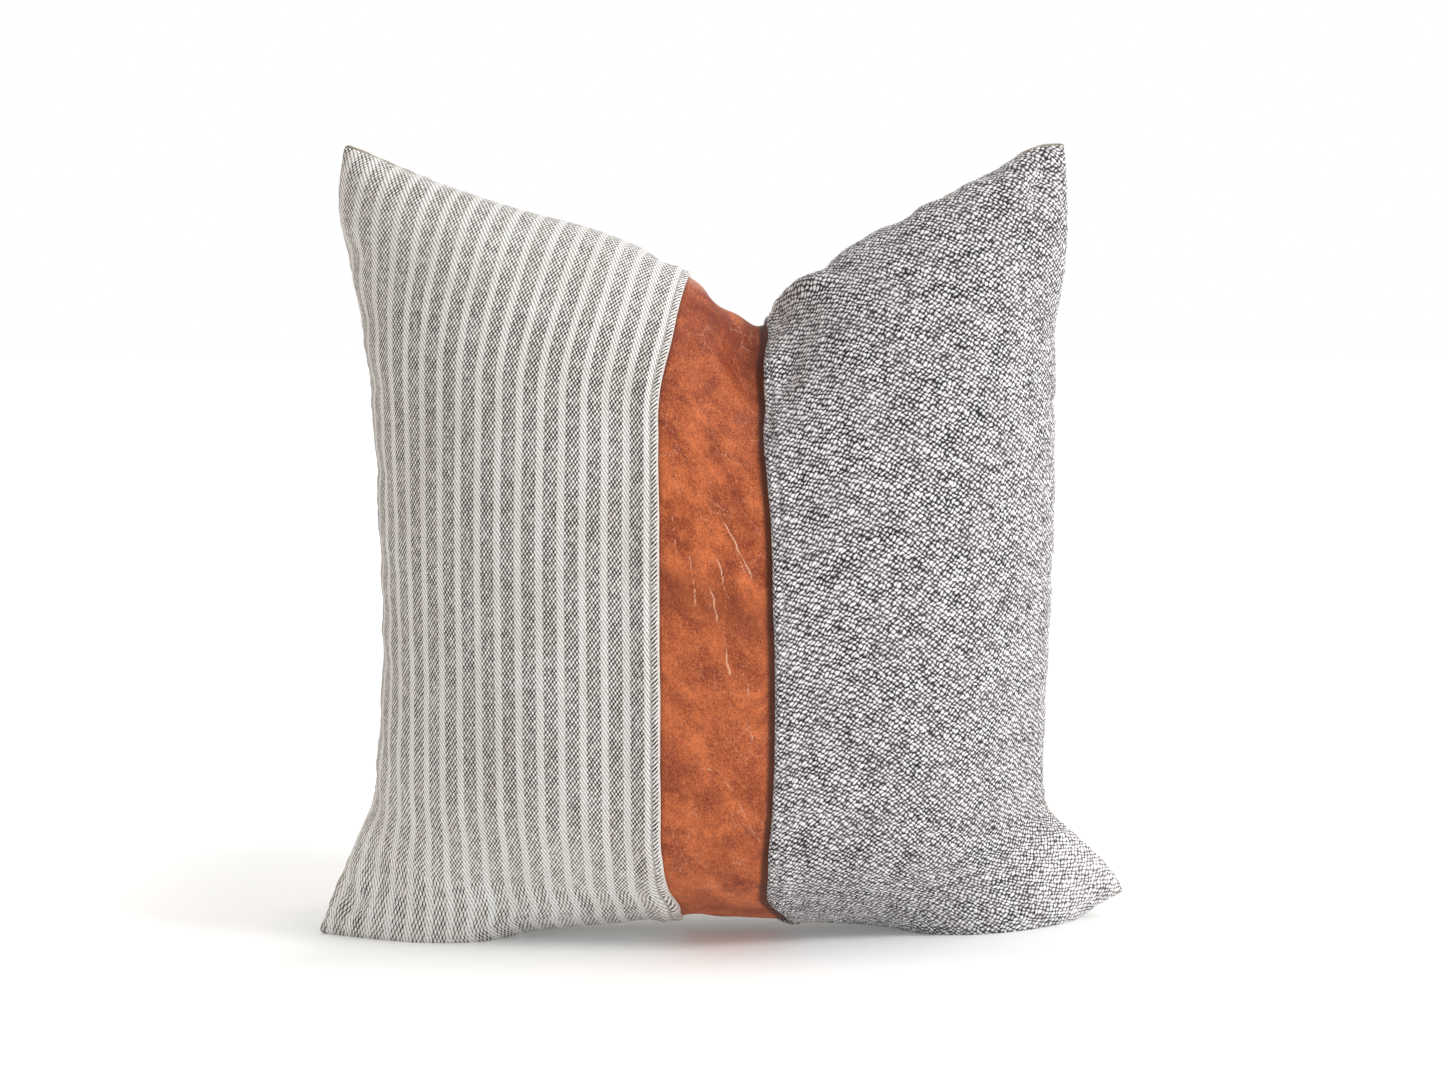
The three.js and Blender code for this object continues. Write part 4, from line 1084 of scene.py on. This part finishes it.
def ticking_material():
    k = Kit("ticking_cloth", 0.88, Sheen_Weight=0.10, Sheen_Roughness=0.5, Specular_IOR_Level=0.2)
    v, x, y = k.cloth()
    foot = k.mul(k.math("MAXIMUM", k.sub(76.0, y), 0.0), 0.5)     # the weft is slacker where the cloth turns under
    wx = k.mul(k.sub(k.noise(v, 0.30, 2.0), 0.5), 0.8)
    wy = k.mul(k.sub(k.noise(k.vec(y, x), 0.34, 2.0), 0.5), 0.8)
    X, Y = k.add(x, wx), k.add(k.add(y, foot), wy)
    h, per = woven(k, X, Y, 2.20, 3.30, 0.82, 1.20)
    fibre = k.noise(v, 2.6, 2.0, 0.6)
    # stripes: 17 across the panel, soft dotted edges, ropes of joined floats
    off = k.math("DIVIDE", k.sub(X, 6.6), 12.6)
    dx = k.mul(k.sub(k.math("FRACT", k.add(off, 0.5)), 0.5), 12.6)
    rag = k.mul(k.sub(per, 0.5), 0.45)
    stripe = k.ramp(k.add(k.math("ABSOLUTE", dx), rag), 2.65, 1.60)
    line = k.math("FRACT", k.math("DIVIDE", k.add(Y, k.mul(X, 1.5)), 3.3))
    rope = k.ramp(k.math("ABSOLUTE", k.sub(line, 0.5)), 0.06, 0.34)
    back = k.math("FRACT", k.math("DIVIDE", k.sub(Y, k.mul(X, 1.3)), 2.6))
    twill = k.ramp(k.math("ABSOLUTE", k.sub(back, 0.5)), 0.08, 0.40)
    hem = k.attr("hem")
    edge = k.ramp(hem, 5.4, 4.2)
    weave = k.math("MAXIMUM", h, k.mul(k.mul(stripe, rope), 0.85))
    weave = k.add(k.mul(weave, k.sub(1.0, edge)), k.mul(k.add(k.mul(twill, 0.75), k.mul(h, 0.25)), edge))
    clean = k.add(weave, k.mul(k.sub(fibre, 0.5), 0.55))
    # painted light: the white stripes lighter towards the bottom, from floor bounce
    clean = k.add(clean, k.mul(k.ramp(y, 160.0, 60.0), 0.10))
    lit = k.add(k.add(weave, k.mul(k.sub(fibre, 0.5), 0.75)), k.mul(k.sub(per, 0.5), 0.34))
    clump = k.noise(k.vec(k.mul(x, 0.26), k.mul(y, 0.17), 8.0), 1.0, 2.0, 0.6)
    lit = k.add(lit, k.mul(k.sub(clump, 0.5), 0.16))
    # painted light: lighter towards the bottom, from floor bounce, and towards the top, which faces up
    lit = k.add(lit, k.add(k.mul(k.ramp(y, 160.0, 60.0), 0.15), k.mul(k.ramp(y, 390.0, 465.0), 0.11)))
    ground = k.mix(k.ramp(lit, 0.05, 0.88), lin(36, 33, 30), lin(255, 253, 251))
    white = k.mix(k.ramp(clean, 0.00, 0.72), lin(142, 139, 135), lin(255, 255, 255))
    col = k.mix(k.mul(stripe, k.sub(1.0, k.mul(edge, 0.75))), ground, white)
    # painted highlight along the folded edge
    col = k.mix(k.ramp(hem, 1.5, 0.5, 0.0, 0.75), col, lin(236, 233, 228))
    # painted shade in the topstitch groove, 5 mm in from the fold
    col = k.mix(k.mul(k.ramp(k.math("ABSOLUTE", k.sub(hem, 5.0)), 0.9, 0.3), 0.5), col, lin(120, 113, 106))
    streak = k.noise(k.vec(k.mul(x, 0.25), k.mul(y, 0.012), 0.0), 1.0, 3.0, 0.6)
    slub = k.noise(k.vec(k.mul(x, 0.02), k.mul(y, 0.6), 5.0), 1.0, 3.0, 0.6)
    cloud = k.noise(v, 0.022, 2.0)
    tone = k.add(k.add(k.mul(k.sub(streak, 0.5), 0.30), k.mul(k.sub(slub, 0.5), 0.28)), k.mul(k.sub(cloud, 0.5), 0.22))
    tone = k.ramp(tone, -0.16, 0.16)
    col = k.mix(tone, k.mix(1.0, col, lin(234, 229, 224), "MULTIPLY"), col)
    seam_shade = k.attr("seam_shade")
    # painted shade in the crevice where the cloth turns into the seam
    col = k.mix(k.ramp(seam_shade, 0.75, 0.15, 0.0, 0.7), col, lin(112, 102, 94))
    height = k.add(k.add(weave, k.mul(stripe, 0.18)), k.mul(fibre, 0.35))
    return k.done(col, k.bump(height, 0.00030, 0.8))


def tweed_material():
    k = Kit("tweed_cloth", 0.92, Sheen_Weight=0.16, Sheen_Roughness=0.6, Specular_IOR_Level=0.15)
    v, x, y = k.cloth()
    wave = lambda a, b, c, amp: k.mul(k.math("SINE", k.add(k.add(k.mul(x, a), k.mul(y, b)), c)), amp)
    X, Y = x, y
    for a, b, c, amp in TWEED_WARP_X:
        X = k.add(X, wave(a, b, c, amp))
    for a, b, c, amp in TWEED_WARP_Y:
        Y = k.add(Y, wave(a, b, c, amp))
    h, per = woven(k, X, Y, TWEED_S, TWEED_T, 1.50, 1.22)
    slub = k.noise(k.vec(k.mul(x, 0.05), k.mul(y, 0.42), 2.0), 1.0, 3.0, 0.65)
    patch = k.noise(k.vec(k.mul(x, 0.03), k.mul(y, 0.06), 6.0), 1.0, 2.0)
    fibre = k.noise(k.vec(k.mul(x, 1.3), k.mul(y, 2.1), 4.0), 1.0, 3.0, 0.7)
    hair = k.noise(k.vec(k.mul(x, 3.0), k.mul(y, 3.0), 14.0), 1.0, 2.0, 0.6)
    lit = k.add(k.add(h, k.mul(k.sub(fibre, 0.5), 0.75)), k.mul(k.sub(per, 0.5), 0.45))
    lit = k.add(lit, k.add(k.mul(k.sub(slub, 0.5), 0.75), k.mul(k.sub(patch, 0.5), 0.22)))
    # painted light: lighter at the bottom right corner, where the key light falls
    lit = k.add(lit, k.mul(k.mul(k.ramp(x, 410.0, 480.0), k.ramp(y, 100.0, 40.0)), 0.22))
    tone = k.ramp(lit, 0.10, 1.01)
    col = k.mix(tone, lin(24, 21, 24), lin(246, 243, 245))
    col = k.mix(k.mul(k.ramp(k.math("ABSOLUTE", k.sub(tone, 0.45)), 0.45, 0.0), 0.30), col, lin(128, 123, 128))
    tint = k.noise(v, 0.05, 2.0)
    col = k.mix(k.ramp(tint, 0.35, 0.70, 0.0, 0.16), col, lin(164, 150, 152))
    # painted shade in the valley beside the dent, tinted brown as a painted reflection off the leather
    along = k.sub(k.mul(k.sub(x, 290.0), 0.917), k.mul(k.sub(y, 506.0), 0.398))
    across = k.add(k.mul(k.sub(x, 290.0), 0.398), k.mul(k.sub(y, 506.0), 0.917))
    valley_shade = k.mul(k.ramp(k.math("ABSOLUTE", across), 10.0, 3.0), k.mul(k.ramp(along, 0.0, 9.0), k.ramp(along, 62.0, 38.0)))
    col = k.mix(k.mul(valley_shade, 0.72), col, k.mix(1.0, col, lin(132, 114, 100), "MULTIPLY"))
    seam_shade = k.attr("seam_shade")
    # painted shade in the crevice where the cloth turns into the seam
    col = k.mix(k.ramp(seam_shade, 0.75, 0.15, 0.0, 0.7), col, lin(82, 76, 82))
    height = k.add(k.mul(h, 0.9), k.add(k.mul(fibre, 0.45), k.mul(hair, 0.2)))
    return k.done(col, k.bump(height, 0.00055, 0.75))


def leather_material():
    k = Kit("waxed_leather", 0.50, Specular_IOR_Level=0.26, Coat_Weight=0.05, Coat_Roughness=0.30)
    v, x, y = k.cloth()
    cloud = k.noise(v, 0.040, 3.0, 0.55, 0.4)
    fine = k.noise(v, 0.16, 4.0, 0.6, 0.6)
    speck = k.noise(v, 0.85, 3.0, 0.7)
    stroke = k.noise(k.vec(k.mul(x, 0.75), k.mul(y, 0.42), 9.0), 1.0, 3.0, 0.65, 1.5)
    hair = k.noise(k.vec(k.mul(x, 2.0), k.mul(y, 0.85), 21.0), 1.0, 2.0, 0.6, 1.0)
    t = k.add(k.add(k.mul(cloud, 0.62), k.mul(fine, 0.30)), k.add(k.mul(speck, 0.61), k.mul(stroke, 0.56)))
    t = k.add(k.add(t, k.mul(hair, 0.36)), k.mul(k.ramp(y, 350.0, 450.0), -0.13))
    col = k.mix(k.ramp(t, 0.97, 1.50), LEATHER_DARK, LEATHER_LIGHT)
    band = k.mul(k.ramp(k.math("ABSOLUTE", k.sub(y, 274.0)), 21.0, 3.0), k.ramp(fine, 0.30, 0.60))
    col = k.mix(k.mul(band, 0.55), col, LEATHER_DEEP)
    blot = k.ramp(k.noise(k.vec(x, y, 40.0), 0.085, 3.0, 0.6, 1.2), 0.54, 0.68)
    col = k.mix(k.mul(blot, 0.30), col, LEATHER_DEEP)
    # fine crackle that opens where the skin was bent
    warped = k.vec(k.add(k.mul(x, 1.0), k.mul(fine, 6.0)), k.add(k.mul(y, 0.62), k.mul(cloud, 7.0)), 0.0)
    crack = k.cells(warped, 0.105, "DISTANCE_TO_EDGE")
    open_ = k.ramp(k.noise(k.vec(x, y, 17.0), 0.035, 2.0, 0.5), 0.50, 0.64)
    crackle = k.mul(k.ramp(crack, 0.040, 0.012), k.mul(open_, k.ramp(speck, 0.42, 0.60)))
    crease = k.attr("crease")
    pale = k.math("MAXIMUM", k.mul(crackle, 0.30), k.ramp(crease, 0.20, 0.85, 0.0, 0.85))
    col = k.mix(pale, col, LEATHER_PALE)
    # painted highlight where the leather rolls over the top at the left of the band
    rolled = k.mul(k.ramp(k.sub(y, k.mul(k.sub(x, 215.0), 0.42)), 466.0, 490.0), k.ramp(x, 280.0, 244.0))
    col = k.mix(k.mul(rolled, 0.66), col, lin(232, 182, 158))
    # painted shadow of the two hems on the leather, strongest beside the tweed fold
    col = k.mix(k.attr("shade"), col, lin(58, 24, 13))
    pores = k.cells(v, 1.25, "F1")
    grain = k.cells(k.vec(x, y, 3.0), 0.62, "DISTANCE_TO_EDGE")
    height = k.add(k.add(k.mul(k.ramp(grain, 0.0, 0.16), 0.40), k.mul(k.ramp(pores, 0.05, 0.35), 0.30)), k.add(k.add(k.mul(fine, 0.5), k.mul(stroke, 0.5)), k.mul(pale, -0.8)))
    rough = k.ramp(k.add(fine, k.mul(speck, 0.4)), 0.45, 0.95, 0.42, 0.62)
    return k.done(col, k.bump(height, 0.00026, 0.85), rough)


def linen_material():
    k = Kit("oatmeal_linen", 0.93, Sheen_Weight=0.15, Sheen_Roughness=0.6, Specular_IOR_Level=0.2)
    v, x, y = k.cloth()
    wx = k.mul(k.sub(k.noise(v, 0.3, 2.0), 0.5), 0.7)
    wy = k.mul(k.sub(k.noise(k.vec(y, x, 2.0), 0.3, 2.0), 0.5), 0.7)
    px, py = k.math("DIVIDE", k.add(x, wx), 1.15), k.math("DIVIDE", k.add(y, wy), 1.05)
    cx, cy = k.math("FLOOR", px), k.math("FLOOR", py)
    over = k.math("MODULO", k.math("ABSOLUTE", k.add(cx, cy)), 2.0)
    bx = k.math("SINE", k.mul(k.math("FRACT", px), math.pi))
    by = k.math("SINE", k.mul(k.math("FRACT", py), math.pi))
    warp = k.mul(bx, k.add(0.35, k.mul(by, 0.65)))
    weft = k.mul(by, k.add(0.35, k.mul(bx, 0.65)))
    h = k.add(k.mul(over, k.mul(warp, 1.0)), k.mul(k.sub(1.0, over), k.mul(weft, 0.86)))
    yw = k.white(k.vec(cx, 0.0, 1.0))
    yf = k.white(k.vec(0.0, cy, 2.0))
    slub_w = k.noise(k.vec(k.mul(x, 0.9), k.mul(y, 0.03), 1.0), 1.0, 3.0, 0.7)
    slub_f = k.noise(k.vec(k.mul(x, 0.03), k.mul(y, 0.9), 2.0), 1.0, 3.0, 0.7)
    tone = k.add(k.mul(over, k.add(k.mul(yw, 0.4), k.mul(slub_w, 0.7))), k.mul(k.sub(1.0, over), k.add(k.mul(yf, 0.4), k.mul(slub_f, 0.7))))
    col = k.mix(k.ramp(tone, 0.12, 0.92), lin(178, 166, 146), lin(226, 217, 201))
    col = k.mix(k.ramp(h, 0.5, 0.12), col, lin(112, 99, 82))
    fleck = k.ramp(k.noise(v, 0.75, 2.0, 0.6), 0.70, 0.76)
    col = k.mix(k.mul(fleck, 0.35), col, lin(104, 84, 62))
    # painted shade in the crevice where the cloth turns into the seam
    col = k.mix(k.ramp(k.attr("seam_shade"), 0.75, 0.15, 0.0, 0.7), col, lin(92, 80, 66))
    return k.done(col, k.bump(k.add(h, k.mul(k.noise(v, 3.0, 2.0), 0.3)), 0.00030, 0.9))


def thread_material(name, a, b):
    k = Kit(name, 0.7, Sheen_Weight=0.1, Specular_IOR_Level=0.35)
    v, x, y = k.cloth()
    twist = k.math("SINE", k.add(k.mul(x, 6.5), k.mul(y, 2.0)))
    lit = k.ramp(twist, -0.8, 0.7)
    col = k.mix(k.mul(lit, k.add(0.6, k.mul(k.noise(v, 0.6), 0.5))), lin(*a), lin(*b))
    return k.done(col, k.bump(twist, 0.00010, 0.8))


def tape_material():
    k = Kit("zip_tape_twill", 0.9, Specular_IOR_Level=0.2)
    v, x, y = k.cloth()
    rib = k.math("SINE", k.mul(k.add(x, k.mul(k.math("ABSOLUTE", k.sub(k.math("FRACT", k.math("DIVIDE", y, 4.6)), 0.5)), 3.4)), 7.0))
    fine = k.math("SINE", k.mul(y, 11.0))
    h = k.add(k.mul(rib, 0.6), k.mul(fine, 0.3))
    col = k.mix(k.ramp(h, -0.7, 0.7), lin(132, 123, 112), lin(178, 169, 156))
    col = k.mix(k.mul(k.noise(v, 0.2, 2.0), 0.35), col, lin(150, 140, 126))
    return k.done(col, k.bump(h, 0.00012, 0.8))


def object_coords(k):
    n = k.node("ShaderNodeTexCoord")
    return n.outputs["Object"]


def coil_material():
    k = Kit("nylon_coil", 0.36, Specular_IOR_Level=0.5)
    v = object_coords(k)
    n = k.noise(v, 900.0, 3.0)
    col = k.mix(k.ramp(n, 0.3, 0.7), lin(126, 117, 106), lin(160, 151, 139))
    return k.done(col, k.bump(n, 0.00003, 0.5), k.ramp(n, 0.3, 0.7, 0.30, 0.46))


def metal_material():
    k = Kit("satin_nickel", 0.32, Metallic=1.0)
    v = object_coords(k)
    n = k.noise(v, 700.0, 4.0, 0.6)
    worn = k.ramp(k.noise(v, 160.0, 3.0, 0.6), 0.45, 0.7)
    col = k.mix(worn, lin(176, 173, 168), lin(204, 201, 195))
    scratch = k.noise(v, 2600.0, 2.0, 0.6)
    return k.done(col, k.bump(k.add(k.mul(n, 0.5), k.mul(scratch, 0.3)), 0.00003, 0.5), k.ramp(n, 0.3, 0.75, 0.24, 0.42))


def cotton_material():
    k = Kit("cotton_casing", 0.92, Sheen_Weight=0.1, Specular_IOR_Level=0.2)
    v, x, y = k.cloth()
    h = k.add(k.math("SINE", k.mul(x, 9.0)), k.math("SINE", k.mul(y, 9.0)))
    col = k.mix(k.ramp(h, -1.4, 1.4), lin(226, 222, 213), lin(247, 245, 240))
    col = k.mix(k.mul(k.noise(v, 0.05, 2.0), 0.3), col, lin(232, 226, 214))
    return k.done(col, k.bump(h, 0.00008, 0.7))


def wadding_material():
    k = Kit("polyester_wadding", 0.95, Sheen_Weight=0.3, Specular_IOR_Level=0.15)
    v, x, y = k.cloth()
    f = k.noise(k.vec(k.mul(x, 0.9), k.mul(y, 0.9), 1.0), 1.0, 6.0, 0.75, 2.0)
    col = k.mix(f, lin(228, 226, 220), lin(252, 251, 248))
    return k.done(col, k.bump(f, 0.0009, 0.8))


def dress(ob, material, slot, body, *nodes):
    ob.data.materials.clear()
    ob.data.materials.append(material)
    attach(ob, body)
    if nodes:
        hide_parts(*nodes)
    return ob


# ------------------------------------------------------------------------------------
# Assembly
# ------------------------------------------------------------------------------------
build_cover(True)

ticking_cloth, tweed_cloth, leather_hide, linen = ticking_material(), tweed_material(), leather_material(), linen_material()
pale_thread = thread_material("pale_thread", (176, 171, 165), (236, 233, 228))
grey_thread = thread_material("grey_thread", (128, 123, 128), (206, 203, 206))
back_thread = thread_material("back_thread", (170, 158, 138), (226, 216, 198))
tape_cloth, coil_nylon, nickel, cotton, wadding = tape_material(), coil_material(), metal_material(), cotton_material(), wadding_material()

ticking = front_panel("ticking_panel_cloth", TICKING_EDGE, 0.0, 1.45, 1.5, TICKING_STITCH, 0.95)
tweed = front_panel("tweed_panel_cloth", TWEED_EDGE, COVER, 1.23, 1.12, TWEED_STITCH, 0.8, tweed_relief)
band = leather_band()
upper, lower = back_panel("back_panel_upper_cloth", True), back_panel("back_panel_lower_cloth", False)
dress(ticking, ticking_cloth, "ticking", "pillow", "ticking_panel")
dress(tweed, tweed_cloth, "tweed", "pillow", "tweed_panel")
dress(band, leather_hide, "leather", "pillow", "leather_band")
dress(upper, linen, "back_cloth", "pillow", "back_panel_upper")
dress(lower, linen, "back_cloth", "pillow", "back_panel_lower")

dress(topstitch("ticking_topstitches", TICKING_EDGE - TICKING_STITCH, 3.45), pale_thread, "thread", "pillow", "ticking_topstitch")
dress(topstitch("tweed_topstitches", TWEED_EDGE + TWEED_STITCH, 3.45, 4.8, -0.08, 0.42), grey_thread, "thread", "pillow", "tweed_topstitch")
dress(zip_stitches("zip_stitches_upper", 7.8), back_thread, "thread", "pillow", "zip_stitch_upper")
dress(zip_stitches("zip_stitches_lower", -7.8), back_thread, "thread", "pillow", "zip_stitch_lower")

dress(tape("zip_tape_upper_woven", 1), tape_cloth, "zip_tape", "pillow", "zip_tape_upper")
dress(tape("zip_tape_lower_woven", -1), tape_cloth, "zip_tape", "pillow", "zip_tape_lower")
dress(coil("zip_coil_upper_turns", 1), coil_nylon, "zip_coil", "pillow", "zip_coil_upper")
dress(coil("zip_coil_lower_turns", -1), coil_nylon, "zip_coil", "pillow", "zip_coil_lower")
dress(softened("zip_top_stop_crimped", "zip_top_stop", 0.00035), nickel, "zip_metal", "pillow", "zip_top_stop")
dress(softened("zip_bottom_stop_crimped", "zip_bottom_stop", 0.00035), nickel, "zip_metal", "pillow", "zip_bottom_stop")
dress(softened("zip_slider_cast", "zip_slider_body", 0.00028), nickel, "zip_metal", "zip_slider", "zip_slider_body")
dress(softened("zip_pull_stamped", "zip_pull_tab", 0.00022), nickel, "zip_metal", "zip_pull", "zip_pull_tab")

dress(casing("insert_casing_front_cloth", -1), cotton, "casing", "pillow", "insert_casing_front")
dress(casing("insert_casing_back_cloth", 1), cotton, "casing", "pillow", "insert_casing_back")
stuffing = dress(fill(), wadding, "fill", "pillow", "insert_fill")

# ------------------------------------------------------------------------------------
# Floor, light and camera
# ------------------------------------------------------------------------------------
floor_mesh = bpy.data.meshes.new("floor")
across, deep = (-8.0, -0.42, -0.30, -0.22, 0.20, 0.27, 8.0), (-8.0, -0.15, -0.055, 0.06, 0.13, 8.0)
floor_mesh.from_pydata([(x, y, 0) for x in across for y in deep], [],
                       [(6 * i + j, 6 * i + 6 + j, 6 * i + 7 + j, 6 * i + 1 + j) for i in range(6) for j in range(5)])
# painted light: the floor far to the left glows more, paling the cast shadow there
lift = floor_mesh.attributes.new("lift", "FLOAT", "POINT")
lift.data.foreach_set("value", [1.0 if x < -0.4 else 0.0 for x in across for _ in deep])
# painted contact shadow: the floor under the pillow is darker and glows less
under = floor_mesh.attributes.new("under", "FLOAT", "POINT")
under.data.foreach_set("value", [1.0 if -0.25 < x < 0.25 and -0.1 < y < 0.1 else 0.0 for x in across for y in deep])
floor = bpy.data.objects.new("floor", floor_mesh)
scene.collection.objects.link(floor)
k = Kit("pale_floor", 0.9, Specular_IOR_Level=0.1)
# painted contact shadow under the pillow
painted_contact_shadow = k.ramp(k.attr("under"), 0.0, 1.0)
k.put(k.b.inputs["Base Color"], k.mix(painted_contact_shadow, (0.90, 0.90, 0.90, 1), (0.82, 0.84, 0.845, 1)))
k.b.inputs["Emission Color"].default_value = (1.0, 1.0, 1.0, 1)
# painted light at the far left and painted contact shadow under the pillow, in the floor's glow
k.put(k.b.inputs["Emission Strength"], k.mul(k.ramp(k.attr("lift"), 0.0, 1.0, 0.22, 0.32), k.sub(1.0, k.mul(painted_contact_shadow, 0.36))))
floor.data.materials.append(k.done())

world = bpy.data.worlds.new("studio")
scene.world = world
world.use_nodes = True
world.node_tree.nodes["Background"].inputs[0].default_value = (1.0, 1.0, 1.0, 1)
world.node_tree.nodes["Background"].inputs[1].default_value = 1.0


def area(name, at, aim, size, power, color=(1, 1, 1)):
    light = bpy.data.lights.new(name, "AREA")
    light.shape, light.size, light.energy, light.color = "DISK", size, power, color
    ob = bpy.data.objects.new(name, light)
    ob.location = at
    ob.rotation_mode = "QUATERNION"
    ob.rotation_quaternion = (Vector(at) - Vector(aim)).to_track_quat("Z", "Y")
    scene.collection.objects.link(ob)
    return ob



def flag(name, corners, tone):
    """A dark card outside the picture that takes some light off one side."""
    me = bpy.data.meshes.new(name)
    me.from_pydata(corners, [], [(0, 1, 2, 3)])
    ob = bpy.data.objects.new(name, me)
    scene.collection.objects.link(ob)
    c = Kit(name, 0.95, Specular_IOR_Level=0.0)
    c.b.inputs["Base Color"].default_value = tone
    me.materials.append(c.done())
    ob.visible_camera = False


flag("flag_left", [(-0.95, -1.0, 0.10), (-0.95, 0.60, 0.10), (-0.95, 0.60, 1.1), (-0.95, -1.0, 1.1)], (0.40, 0.33, 0.27, 1))
flag("flag_front", [(-1.5, -2.7, 0.1), (1.5, -2.7, 0.1), (1.5, -2.7, 2.3), (-1.5, -2.7, 2.3)], (0.10, 0.10, 0.10, 1))

from mathutils import Vector  # noqa: E402

lo, hi = (Vector(c) for c in CAD_BOX)
centre = (lo + hi) / 2
area("key", (2.3, -1.15, 1.55), (0, 0, 0.2), 0.9, 44.0, (1.0, 0.985, 0.965))

AIM = Vector((centre.x - 0.0028, 0.0, 0.2376))
AZIMUTH, ELEVATION, DISTANCE, LENS = 0.0, 5.5, 2.1, 87.0
a, e = math.radians(AZIMUTH), math.radians(ELEVATION)
back = Vector((math.sin(a) * math.cos(e), -math.cos(a) * math.cos(e), math.sin(e)))
cam = bpy.data.objects.new("camera", bpy.data.cameras.new("camera"))
cam.data.sensor_width, cam.data.lens = 36.0, LENS
cam.data.clip_start, cam.data.clip_end = 0.05, 100
cam.location = AIM + back * DISTANCE
cam.rotation_mode = "QUATERNION"
cam.rotation_quaternion = back.to_track_quat("Z", "Y")
cam.data.dof.use_dof = False
scene.collection.objects.link(cam)
scene.camera = cam
scene.view_settings.view_transform = "Standard"
scene.view_settings.look = "None"
scene.view_settings.exposure = 0.0
